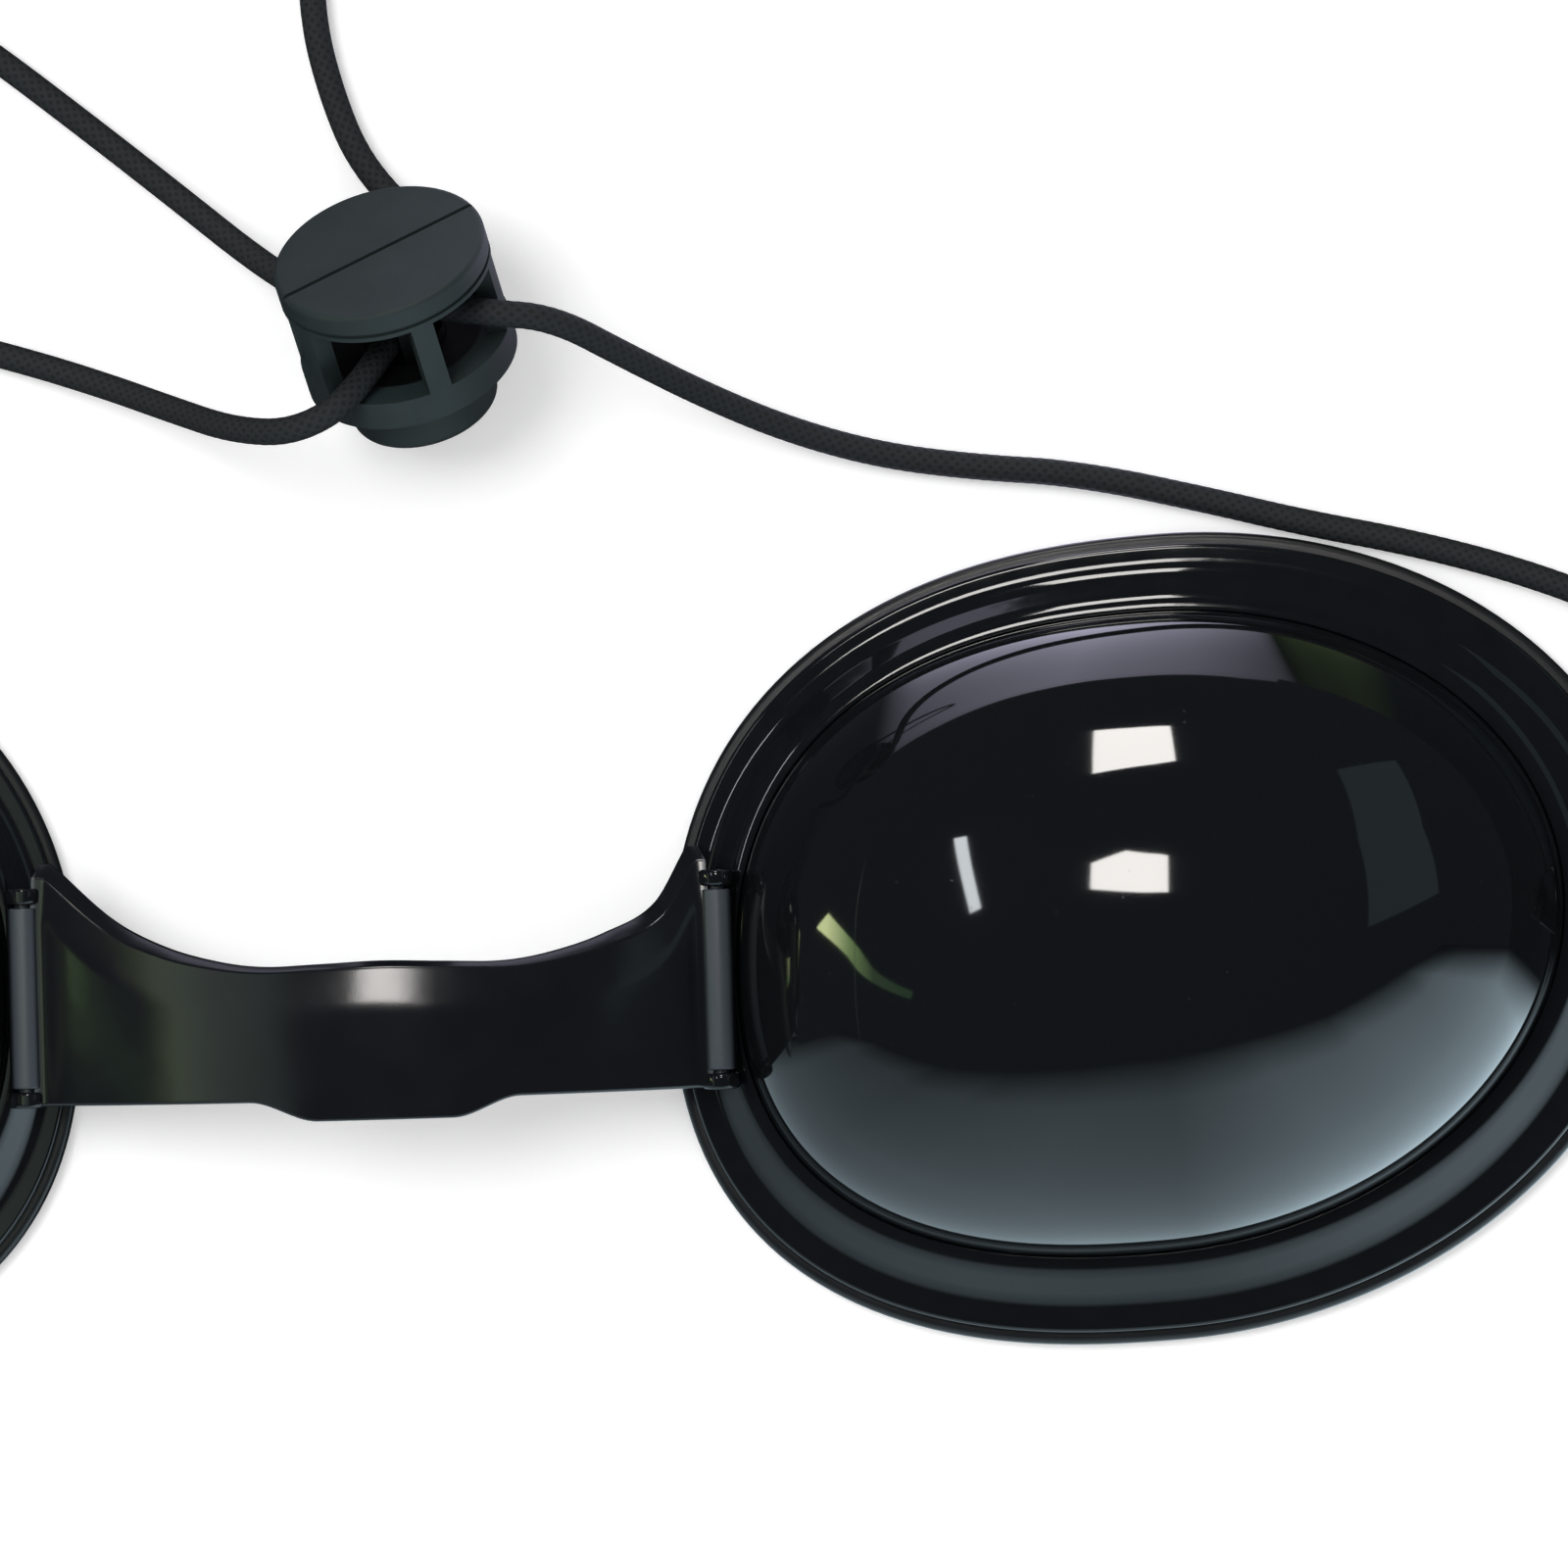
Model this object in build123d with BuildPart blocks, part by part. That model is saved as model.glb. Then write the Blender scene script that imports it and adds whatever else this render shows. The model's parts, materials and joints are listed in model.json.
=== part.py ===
"""Tanning goggles: two domed eye cups on a hinged nose bridge, with an elastic cord and a sprung cord lock.

They lie as they are put down on a table, seals down and domes up. The origin is midway between
the cups at table level, +X runs to the right-hand cup, +Y towards the cord lock and +Z up. Millimetres.
"""

from build123d import *

import math
import os

os.makedirs("parts", exist_ok=True)

# One overrun serves every cut
overrun = 1.0

# Eye cup outline, seen from above: an oval that is squarer towards the nose
rim_centre_x = 44.6
rim_centre_y = 0.1
rim_half_length = 27.95
rim_half_width = 22.7
nose_squareness = 2.4
temple_squareness = 2.0
skew_slope = 0.053
nose_droop_share = 0.02
outline_points = 20

# The dome sits nearer the nose and a little higher than the rim
dome_shift_x = -1.05
dome_shift_y = 0.35

# Soft face seal, which rests on the table or on the face
seal_height = 1.1
seal_width = 4.7
seal_round = 0.42

# Cup frame: a flange, a sloped riser and a shelf that carries the dome
lip_width = 0.7
flange_thickness = 0.8
flange_width = 1.7
riser_run = 1.45
riser_height = 1.6
shelf_width = 0.95
rebate_depth = 0.5
ledge_width = 1.6
fit_gap = 0.05

# Opaque dome
dome_height = 13.5
dome_wall = 1.2
dome_swell = 2.1
dome_height_shares = (0.0, 0.22, 0.44, 0.63, 0.79, 0.91, 0.98)

# Hinge between a cup and the nose bridge
pin_inset = 2.7
pin_radius = 0.45
pin_gap = 0.05
knuckle_radius = 0.95
lug_radius = 1.05
lug_thickness = 0.9
lug_gap = 0.2
hinge_low_y = -7.6
hinge_high_y = 4.65
lug_half_run = 0.95
hinge_clearance = 0.3

# Nose bridge: an arched band, waisted in the middle, with a flat tab at its lower edge
bridge_rise = 4.6
bridge_thickness = 1.3
bridge_bevel = 0.45
bridge_corner_y = 6.0
bridge_low_y = -7.5
tab_low_y = -8.6
tab_half_width = 3.7
tab_half_foot = 7.4
waist_x_shares = (0.85, 0.69, 0.53, 0.38, 0.2)
waist_y_shares = (0.48, 0.22, 0.07, 0.0, 0.01)
waist_middle_share = 0.03
band_shift_share = 2 / 45

# Ear at the outer end of each cup frame, with the hole that the cord is knotted through
ear_reach = 1.85
ear_radius = 2.2
ear_thickness = 1.2
ear_lift = 0.7
ear_hole_radius = 1.0
ear_root_depth = 0.5
web_width = 2.4

# Elastic cord
cord_radius = 0.75
knot_radius = 1.75
knot_gap = 0.05

# Cord lock: its axis leans back and runs from the press button up to the capped end
lock_centre = (1.75, 39.3, 10.25)
lock_lean = 51.0
lock_heading = 14.66
barrel_radius = 6.0
barrel_length = 7.8
barrel_bore_radius = 4.27
chamber_radius = 4.9
cap_thickness = 1.1
cap_round = 0.3
cap_groove_depth = 0.15
cap_groove_width = 0.25
cap_line_width = 0.28
cap_line_depth = 0.22
cap_line_angle = 17.6
window_top = 1.7
window_bottom = 6.05
post_width = 1.3
post_angles = (30, 102, 165, 210, 282, 345)
floor_top = 6.15
floor_thickness = 0.45
stem_radius = 2.3
stem_gap = 0.06
button_radius = 4.2
button_wall = 0.75
button_end = 10.9
button_end_wall = 0.9
button_round = 0.5
button_overlap = 0.08
button_travel = 1.1
slot_width = 1.9
slot_gap = 0.06
high_cord_depth = 3.6
low_cord_depth = 5.15
high_cord_angle = 144.0
low_cord_angle = 58.0
stem_crown = 0.5

# Spring between the barrel's floor and the button
spring_wire_radius = 0.17
spring_coil_radius = 2.88
spring_turns = 4
spring_end_gap = 0.03

# Cord routes, from end to end of each stretch, as the cord lies
right_outer_route = (
    (74.4, 1.58, 3.85),
    (74.4, 1.58, 0.8),
    (74.9, 5.1, 0.8),
    (75.5, 9.6, 0.8),
    (74.2, 14.4, 0.8),
    (70.6, 17.9, 0.8),
    (65.2, 20.1, 0.8),
    (59.0, 21.9, 0.8),
    (52.9, 23.2, 0.8),
    (47.6, 24.6, 0.8),
    (43.8, 25.5, 0.8),
)
right_inner_route = (
    (43.8, 25.5, 0.8),
    (40.0, 26.35, 0.8),
    (34.8, 26.8, 0.8),
    (29.4, 27.6, 0.9),
    (24.3, 29.1, 1.6),
    (19.5, 31.15, 3.5),
    (15.2, 33.3, 7.0),
    (11.3, 35.35, 10.1),
    (7.65, 35.7, 10.7),
    (2.46, 36.59, 7.98),
)
loop_route = (
    (2.46, 36.59, 7.98),
    (-2.55, 37.45, 5.35),
    (-5.6, 39.6, 3.1),
    (-9.6, 43.0, 1.5),
    (-14.6, 47.15, 0.8),
    (-21.0, 52.3, 0.8),
    (-28.7, 57.6, 0.8),
    (-36.4, 64.4, 0.8),
    (-41.6, 73.7, 0.8),
    (-42.2, 84.9, 0.8),
    (-37.6, 95.6, 0.8),
    (-28.6, 102.9, 0.8),
    (-17.2, 104.6, 0.8),
    (-7.0, 100.2, 0.8),
    (-0.2, 91.2, 0.8),
    (2.6, 80.4, 0.8),
    (2.3, 71.0, 0.8),
    (0.1, 63.6, 0.8),
    (-2.0, 57.8, 0.8),
    (-2.0, 52.8, 0.8),
    (-1.0, 48.6, 0.8),
    (0.3, 45.2, 0.9),
    (2.6, 42.3, 1.3),
    (5.4, 39.97, 2.41),
    (2.76, 35.43, 7.01),
)
left_inner_route = (
    (2.76, 35.43, 7.01),
    (0.31, 31.2, 11.29),
    (-3.0, 29.35, 11.1),
    (-6.6, 29.7, 8.2),
    (-10.3, 31.15, 4.6),
    (-14.4, 32.8, 1.8),
    (-19.4, 34.5, 0.8),
    (-26.0, 36.3, 0.8),
    (-33.4, 37.7, 0.8),
    (-40.0, 38.0, 0.8),
    (-45.0, 37.4, 0.8),
)
left_outer_route = (
    (-45.0, 37.4, 0.8),
    (-50.0, 36.8, 0.8),
    (-56.6, 34.2, 0.8),
    (-63.2, 29.9, 0.8),
    (-69.0, 24.2, 0.8),
    (-73.2, 17.7, 0.8),
    (-75.3, 11.2, 0.8),
    (-75.0, 5.6, 0.8),
    (-74.4, 1.58, 0.8),
    (-74.4, 1.58, 3.85),
)

# Heights that several pieces share
flange_top = seal_height + flange_thickness
shelf_top = flange_top + riser_height
dome_foot = shelf_top - rebate_depth
riser_foot_inset = lip_width + flange_width
riser_top_inset = riser_foot_inset + riser_run
dome_inset = riser_top_inset + shelf_width
opening_inset = dome_inset + ledge_width
ear_bottom = flange_top + ear_lift
ear_top = ear_bottom + ear_thickness
pin_x = rim_centre_x - rim_half_length + pin_inset
pin_z = shelf_top + knuckle_radius + hinge_clearance
bridge_half_span = pin_x - lug_radius - hinge_clearance
band_shift = bridge_half_span * band_shift_share
ear_centre_x = rim_centre_x + rim_half_length + ear_reach
ear_centre_y = rim_centre_y + skew_slope * rim_half_length
ear_root = ear_reach + riser_top_inset + ear_root_depth
web_centre_x = ear_centre_x - ear_reach - riser_foot_inset - lip_width
hinge_middle_y = (hinge_low_y + hinge_high_y) / 2
knuckle_length = hinge_high_y - hinge_low_y - 2 * lug_thickness - 2 * lug_gap
floor_bottom = floor_top + floor_thickness
post_reach = 2 * (barrel_radius - chamber_radius + overrun)
cord_room = cord_radius + slot_gap
stem_top = high_cord_depth - cord_room - stem_crown
button_top = barrel_length - button_overlap
button_floor = button_end - button_end_wall


def cup_face(height, inset, scale_share=1.0, extra=0.0):
    """The rim's oval at a height, drawn in by inset and moved towards the dome's centre."""
    shift_share = min(inset / dome_inset, 1.0)
    centre_x = rim_centre_x + dome_shift_x * shift_share
    centre_y = rim_centre_y + dome_shift_y * shift_share
    half_length = (rim_half_length - inset - extra) * scale_share
    half_width = (rim_half_width - inset - extra) * scale_share
    points = []
    for number in range(outline_points):
        angle = 2 * math.pi * number / outline_points
        across, up = math.cos(angle), math.sin(angle)
        squareness = nose_squareness if across < 0 else temple_squareness
        size = (abs(across) ** squareness + abs(up) ** squareness) ** (-1 / squareness)
        x = half_length * across * size
        droop = nose_droop_share * min(x, 0) ** 2 / rim_half_length
        y = half_width * up * size + skew_slope * x - droop
        points.append((centre_x + x, centre_y + y))
    with BuildSketch(Plane.XY.offset(height)) as oval:
        with BuildLine():
            Spline(*points, periodic=True)
        make_face()
    return oval.sketch.face()


def dome_share(height_share):
    """How wide the dome still is at a share of its height."""
    return (1 - height_share**dome_swell) ** (1 / dome_swell)


def dome_levels(height, wall=0.0):
    """The dome's cross-sections from its foot to just below its crown."""
    return [
        cup_face(dome_foot + height * height_share, dome_inset, dome_share(height_share), wall)
        for height_share in dome_height_shares
    ]


def save(part, name):
    """Label a finished piece and write it."""
    part.label = name
    export_step(part, f"parts/{name}.step")


# Face seal: a flat soft ring with a rounded lip that shows round the flange
with BuildPart() as right_face_seal:
    extrude(cup_face(0, 0), amount=seal_height)
    fillet(right_face_seal.edges().filter_by(Plane.XY), seal_round)
    extrude(cup_face(0, seal_width), amount=seal_height, mode=Mode.SUBTRACT)

# Cup frame: flange, riser and shelf, with the hinge lugs and the cord ear
with BuildPart() as right_cup_frame:
    extrude(cup_face(seal_height, lip_width), amount=flange_thickness)
    loft([cup_face(flange_top, riser_foot_inset), cup_face(shelf_top, riser_top_inset)])
    with BuildSketch(Plane.XZ.offset(-hinge_high_y)) as high_lug:
        with Locations((pin_x, pin_z)):
            Circle(lug_radius)
        with Locations((pin_x, (pin_z + flange_top) / 2)):
            Rectangle(2 * lug_half_run, pin_z - flange_top)
    extrude(amount=lug_thickness)
    with BuildSketch(Plane.XZ.offset(-hinge_low_y - lug_thickness)) as low_lug:
        with Locations((pin_x, pin_z)):
            Circle(lug_radius)
        with Locations((pin_x, (pin_z + flange_top) / 2)):
            Rectangle(2 * lug_half_run, pin_z - flange_top)
    extrude(amount=lug_thickness)
    with BuildSketch(Plane.XZ.offset(-hinge_high_y)) as pin_hole:
        with Locations((pin_x, pin_z)):
            Circle(pin_radius + pin_gap / 2)
    extrude(amount=hinge_high_y - hinge_low_y, mode=Mode.SUBTRACT)
    with BuildSketch(Plane.XY.offset(ear_bottom)):
        with Locations((ear_centre_x, ear_centre_y)):
            Circle(ear_radius)
        with Locations((ear_centre_x - ear_root / 2, ear_centre_y)):
            Rectangle(ear_root, 2 * ear_radius)
    extrude(amount=ear_thickness)
    with BuildSketch(Plane.XY.offset(flange_top)):
        with Locations((web_centre_x, ear_centre_y)):
            Rectangle(web_width, 2 * ear_radius)
    extrude(amount=ear_lift)
    with BuildSketch(Plane.XY.offset(ear_bottom)):
        with Locations((ear_centre_x, ear_centre_y)):
            Circle(ear_hole_radius)
    extrude(amount=ear_thickness, mode=Mode.SUBTRACT)
    extrude(cup_face(dome_foot, dome_inset - fit_gap), amount=rebate_depth, mode=Mode.SUBTRACT)
    extrude(cup_face(seal_height, opening_inset), amount=dome_foot, mode=Mode.SUBTRACT)

# Dome: an opaque shell of even wall, seated in the frame's rebate
with BuildPart() as right_dome:
    loft(dome_levels(dome_height))
    loft(dome_levels(dome_height - dome_wall, dome_wall), mode=Mode.SUBTRACT)

# Hinge pin through the lugs and the bridge's knuckle
with BuildPart() as right_hinge_pin:
    with BuildSketch(Plane.XZ.offset(-hinge_high_y)):
        with Locations((pin_x, pin_z)):
            Circle(pin_radius)
    extrude(amount=hinge_high_y - hinge_low_y)

# Knot that stops the cord above the ear
with BuildPart() as right_cord_knot:
    with Locations((ear_centre_x, ear_centre_y, ear_top + knot_gap + knot_radius / 2)):
        Sphere(knot_radius)
    knot_seat = Plane.XY.offset(ear_top + knot_gap)
    split(bisect_by=knot_seat, keep=Keep.TOP)

# The left-hand cup mirrors the right-hand one
for right_piece, piece_name in (
    (right_face_seal, "face_seal"),
    (right_cup_frame, "cup_frame"),
    (right_dome, "dome"),
    (right_hinge_pin, "hinge_pin"),
    (right_cord_knot, "cord_knot"),
):
    with BuildPart() as left_piece:
        mirror(right_piece.part, about=Plane.YZ)
    save(right_piece.part, f"right_{piece_name}")
    save(left_piece.part, f"left_{piece_name}")

# Nose bridge: the arch seen from the front, cut to the band's outline seen from above
crown_z = pin_z + bridge_rise
half_thickness = bridge_thickness / 2
with BuildPart() as nose_bridge:
    with BuildSketch(Plane.XZ.offset(-bridge_corner_y - overrun)):
        with BuildLine():
            lower_arch = ThreePointArc(
                (-bridge_half_span, pin_z - half_thickness),
                (0, crown_z - half_thickness),
                (bridge_half_span, pin_z - half_thickness),
            )
            upper_arch = ThreePointArc(
                (-bridge_half_span, pin_z + half_thickness),
                (0, crown_z + half_thickness),
                (bridge_half_span, pin_z + half_thickness),
            )
            Line(lower_arch @ 0, upper_arch @ 0)
            Line(lower_arch @ 1, upper_arch @ 1)
        make_face()
    extrude(amount=bridge_corner_y - tab_low_y + 2 * overrun)
    with BuildSketch() as band_outline:
        with BuildLine():
            right_waist = [
                (bridge_half_span * x_share, bridge_corner_y * y_share)
                for x_share, y_share in zip(waist_x_shares, waist_y_shares)
            ]
            left_waist = [(-x, y) for x, y in reversed(right_waist)]
            middle = (0, bridge_corner_y * waist_middle_share)
            waist = Spline(
                (bridge_half_span, bridge_corner_y),
                *[(x + band_shift, y) for x, y in (*right_waist, middle, *left_waist)],
                (-bridge_half_span, bridge_corner_y),
            )
            Polyline(
                waist @ 1,
                (-bridge_half_span, bridge_low_y),
                (band_shift - tab_half_foot, bridge_low_y),
                (band_shift - tab_half_width, tab_low_y),
                (band_shift + tab_half_width, tab_low_y),
                (band_shift + tab_half_foot, bridge_low_y),
                (bridge_half_span, bridge_low_y),
                waist @ 0,
            )
        make_face()
    extrude(amount=crown_z + overrun, mode=Mode.INTERSECT)
    waist_edges = nose_bridge.edges().filter_by(GeomType.BSPLINE).sort_by(Axis.Z)
    chamfer(waist_edges[-1], bridge_bevel)
    for side in (-1, 1):
        with BuildSketch(Plane.XZ.offset(-hinge_middle_y - knuckle_length / 2)):
            with Locations((side * pin_x, pin_z)):
                Circle(knuckle_radius)
            with Locations((side * (pin_x + bridge_half_span) / 2, pin_z)):
                Rectangle(pin_x - bridge_half_span, bridge_thickness)
        extrude(amount=knuckle_length)
        with BuildSketch(Plane.XZ.offset(-bridge_corner_y)):
            with Locations((side * pin_x, pin_z)):
                Circle(pin_radius + pin_gap)
        extrude(amount=bridge_corner_y - tab_low_y, mode=Mode.SUBTRACT)
save(nose_bridge.part, "nose_bridge")

# The lock's own plane: its origin is the middle of the cap, and depths run down from there
lean = math.radians(lock_lean)
heading = math.radians(lock_heading)
lock_axis = (
    -math.sin(heading) * math.sin(lean),
    math.cos(heading) * math.sin(lean),
    math.cos(lean),
)
lock_across = (math.cos(heading), math.sin(heading), 0)
lock_plane = Plane(origin=lock_centre, x_dir=lock_across, z_dir=lock_axis)
lock_line = Axis(lock_centre, lock_axis)


def at_depth(depth):
    """The lock's cross-section at a depth below the cap."""
    return lock_plane.offset(-depth)


# Lock barrel: a capped tube with windows for the cord and a floor for the spring
with BuildPart() as lock_barrel:
    with BuildSketch(at_depth(barrel_length)):
        Circle(barrel_radius)
    extrude(amount=barrel_length)
    fillet(lock_barrel.edges().filter_by(GeomType.CIRCLE).sort_by(lock_line)[-1], cap_round)
    with BuildSketch(at_depth(floor_top)):
        Circle(chamber_radius)
    extrude(amount=floor_top - cap_thickness, mode=Mode.SUBTRACT)
    with BuildSketch(at_depth(barrel_length)):
        Circle(stem_radius + stem_gap)
    extrude(amount=barrel_length - cap_thickness, mode=Mode.SUBTRACT)
    with BuildSketch(at_depth(barrel_length)):
        Circle(barrel_bore_radius)
    extrude(amount=barrel_length - floor_bottom, mode=Mode.SUBTRACT)
    with BuildSketch(at_depth(window_bottom)) as window_band:
        Circle(barrel_radius + overrun)
        Circle(chamber_radius - overrun, mode=Mode.SUBTRACT)
        for post_angle in post_angles:
            with PolarLocations(barrel_radius, 1, start_angle=post_angle):
                Rectangle(post_reach, post_width, mode=Mode.SUBTRACT)
    extrude(amount=window_bottom - window_top, mode=Mode.SUBTRACT)
    with BuildSketch(at_depth(window_top - cap_groove_width)):
        Circle(barrel_radius + overrun)
        Circle(barrel_radius - cap_groove_depth, mode=Mode.SUBTRACT)
    extrude(amount=cap_groove_width, mode=Mode.SUBTRACT)
    with BuildSketch(lock_plane):
        Rectangle(2 * barrel_radius + overrun, cap_line_width, rotation=cap_line_angle)
    extrude(amount=-cap_line_depth, mode=Mode.SUBTRACT)
save(lock_barrel.part, "lock_barrel")

# Plunger: a hollow press button on a stem, with a cross slot for each pass of the cord
with BuildPart() as lock_plunger:
    with BuildSketch(at_depth(button_end)):
        Circle(button_radius)
    extrude(amount=button_end - button_top)
    fillet(lock_plunger.edges().filter_by(GeomType.CIRCLE).sort_by(lock_line)[0], button_round)
    with BuildSketch(at_depth(button_floor)):
        Circle(button_radius - button_wall)
    extrude(amount=button_floor - button_top, mode=Mode.SUBTRACT)
    with BuildSketch(at_depth(button_floor)):
        Circle(stem_radius)
    extrude(amount=button_floor - stem_top)
    for cord_depth, cord_angle in (
        (high_cord_depth, high_cord_angle),
        (low_cord_depth, low_cord_angle),
    ):
        with BuildSketch(at_depth(cord_depth + cord_room + button_travel)):
            Rectangle(2 * stem_radius + overrun, slot_width, rotation=cord_angle)
        extrude(amount=2 * cord_room + button_travel, mode=Mode.SUBTRACT)
save(lock_plunger.part, "lock_plunger")

# Spring round the stem, between the barrel's floor and the inside of the button
spring_low = button_floor - spring_wire_radius - spring_end_gap
spring_high = floor_bottom + spring_wire_radius + spring_end_gap
spring_length = spring_low - spring_high
with BuildPart() as lock_spring:
    with BuildLine() as coil:
        Helix(
            spring_length / spring_turns,
            spring_length,
            spring_coil_radius,
            center=at_depth(spring_low).origin,
            direction=lock_axis,
        )
    with BuildSketch(Plane(origin=coil.line @ 0, z_dir=coil.line % 0)):
        Circle(spring_wire_radius)
    sweep()
save(lock_spring.part, "lock_spring")


def corner_radii(route):
    """The arc at each corner: 0.45 of the shorter run over the tangent of half the turn."""
    radii = []
    for before, corner, after in zip(route, route[1:], route[2:]):
        run_in = Vector(corner) - Vector(before)
        run_out = Vector(after) - Vector(corner)
        half_turn = math.radians(run_in.get_angle(run_out) / 2)
        radii.append(0.45 * min(run_in.length, run_out.length) / math.tan(half_turn))
    return radii


# Elastic cord: one round tube along each stretch
for cord_name, route in (
    ("right_cord_outer", right_outer_route),
    ("right_cord_inner", right_inner_route),
    ("cord_loop", loop_route),
    ("left_cord_inner", left_inner_route),
    ("left_cord_outer", left_outer_route),
):
    radii = corner_radii(route)
    with BuildPart() as cord:
        with BuildLine() as path:
            FilletPolyline(*route, radius=radii)
        with BuildSketch(Plane(origin=path.line @ 0, z_dir=path.line % 0)):
            Circle(cord_radius)
        sweep()
    route_length = path.wire().length
    tube_volume = math.pi * cord_radius**2 * route_length
    print(
        cord_name,
        f"length {route_length:.1f}, tightest arc {min(radii):.1f},",
        f"volume {cord.part.volume:.1f} of {tube_volume:.1f}, arcs",
        [round(radius, 1) for radius in radii],
    )
    save(cord.part, cord_name)
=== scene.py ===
# %% [markdown]
# # Tanning goggles, dressed for a studio picture
#
# Two opaque black eye cups hinge on an arched nose bridge. A thin elastic cord runs from ear to ear
# and passes twice through a small sprung lock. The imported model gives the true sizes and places;
# this lesson gives each piece its finish, rounds the edges that catch light, and lays the real cord.

import json
import math

import bmesh
import bpy
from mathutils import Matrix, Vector

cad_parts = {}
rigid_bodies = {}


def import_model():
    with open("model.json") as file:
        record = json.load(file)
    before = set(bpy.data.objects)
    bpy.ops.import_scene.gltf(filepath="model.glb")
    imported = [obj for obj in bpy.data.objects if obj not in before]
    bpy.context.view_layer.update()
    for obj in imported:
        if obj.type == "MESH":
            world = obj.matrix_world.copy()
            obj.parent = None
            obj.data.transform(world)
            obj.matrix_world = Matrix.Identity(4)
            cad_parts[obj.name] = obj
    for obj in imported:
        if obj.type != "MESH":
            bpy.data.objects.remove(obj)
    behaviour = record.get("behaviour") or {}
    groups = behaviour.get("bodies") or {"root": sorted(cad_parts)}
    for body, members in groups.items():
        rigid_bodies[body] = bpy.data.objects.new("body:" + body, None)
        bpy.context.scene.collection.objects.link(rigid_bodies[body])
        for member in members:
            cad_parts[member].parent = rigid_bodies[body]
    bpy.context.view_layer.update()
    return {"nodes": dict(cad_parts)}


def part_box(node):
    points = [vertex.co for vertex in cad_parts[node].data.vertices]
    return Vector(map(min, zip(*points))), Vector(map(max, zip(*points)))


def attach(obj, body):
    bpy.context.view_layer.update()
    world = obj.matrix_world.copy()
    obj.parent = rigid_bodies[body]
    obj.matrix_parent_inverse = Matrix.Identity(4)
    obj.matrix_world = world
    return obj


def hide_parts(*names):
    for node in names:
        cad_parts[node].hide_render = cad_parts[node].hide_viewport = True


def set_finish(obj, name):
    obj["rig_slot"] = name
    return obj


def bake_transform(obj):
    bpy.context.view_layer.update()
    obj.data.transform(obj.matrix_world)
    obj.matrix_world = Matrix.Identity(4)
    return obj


for leftover in list(bpy.data.objects):
    bpy.data.objects.remove(leftover)
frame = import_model()
mm = 0.001

# %% [markdown]
# ## The camera
#
# The photograph looks straight down on the goggles from about half a metre, so the lens is long and
# the picture is framed on the right-hand cup, the bridge and the lock. The camera's own turn is tiny.

# %% Camera
camera_place = Vector((23.3, 9.3, 450.0)) * mm
picture_width = 88.4 * mm
camera_turn = math.radians(-1.6)
sensor_width = 36.0
nearest, furthest = 10 * mm, 10.0

camera_data = bpy.data.cameras.new("camera")
camera_data.sensor_width = sensor_width
camera_data.lens = sensor_width * camera_place.z / picture_width
camera_data.clip_start = nearest
camera_data.clip_end = furthest
camera = bpy.data.objects.new("camera", camera_data)
camera.location = camera_place
camera.rotation_euler = (0.0, 0.0, camera_turn)
bpy.context.scene.collection.objects.link(camera)
bpy.context.scene.camera = camera
print("lens", round(camera_data.lens, 1), "mm")

# %% [markdown]
# ## Shader maths as plain expressions
#
# A small class wraps a node's socket, so that `1 - mask` or `height * depth` adds the Math node it
# needs. One method adds any other node: its settings first, then the values or links of its sockets.

# %% Socket class and material helper


class Sock:
    """A value that varies over a surface, with the usual operators."""

    def __init__(self, owner, socket):
        self.owner = owner
        self.socket = socket

    def __add__(self, other):
        return self.owner.maths("ADD", self, other)

    def __sub__(self, other):
        return self.owner.maths("SUBTRACT", self, other)

    def __rsub__(self, other):
        return self.owner.maths("SUBTRACT", other, self)

    def __mul__(self, other):
        return self.owner.maths("MULTIPLY", self, other)

    def __truediv__(self, other):
        return self.owner.maths("DIVIDE", self, other)

    __radd__ = __add__
    __rmul__ = __mul__


class Nodes:
    """A node tree of any kind, and short ways to add to it."""

    def __init__(self, tree):
        self.tree = tree

    def node(self, kind, settings=None, output=0, **values):
        """Add a node; keys of values are socket names with spaces as underscores, or in_0, in_1."""
        made = self.tree.nodes.new(kind)
        for key, value in (settings or {}).items():
            if key == "stops":
                self.set_stops(made.color_ramp, value)
            else:
                setattr(made, key, value)
        for key, value in values.items():
            numbered = key.startswith("in_")
            target = made.inputs[int(key[3:]) if numbered else key.replace("_", " ")]
            self.feed(target, value)
        return Sock(self, made.outputs[output]) if made.outputs else None

    def feed(self, target, value):
        """Link a socket to another or set its value."""
        if isinstance(value, Sock):
            self.tree.links.new(value.socket, target)
        else:
            target.default_value = value

    def set_stops(self, ramp, stops):
        """Give a colour ramp its stops."""
        while len(ramp.elements) < len(stops):
            ramp.elements.new(0.5)
        for element, (place, shade) in zip(ramp.elements, stops):
            element.position = place
            element.color = (*shade, 1.0) if isinstance(shade, tuple) else (shade, shade, shade, 1.0)

    def maths(self, operation, first, second=0.0):
        return self.node("ShaderNodeMath", {"operation": operation}, in_0=first, in_1=second)

    def vector(self, operation, first, second=(0.0, 0.0, 0.0), output=0):
        """Vector maths; output 0 is a vector and output 1 a number."""
        inputs = {"in_0": first, "in_1": second}
        return self.node("ShaderNodeVectorMath", {"operation": operation}, output=output, **inputs)

    def stretch(self, value, low, high):
        """Pull the part of a value between low and high out to 0 and 1."""
        limits = {"From_Min": low, "From_Max": high, "To_Min": 0.0, "To_Max": 1.0}
        return self.node("ShaderNodeMapRange", {"clamp": True}, Value=value, **limits)

    def mix(self, share, first, second):
        """Blend two colours."""
        colours = {"in_6": first, "in_7": second}
        return self.node("ShaderNodeMix", {"data_type": "RGBA"}, output=2, in_0=share, **colours)


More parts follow.
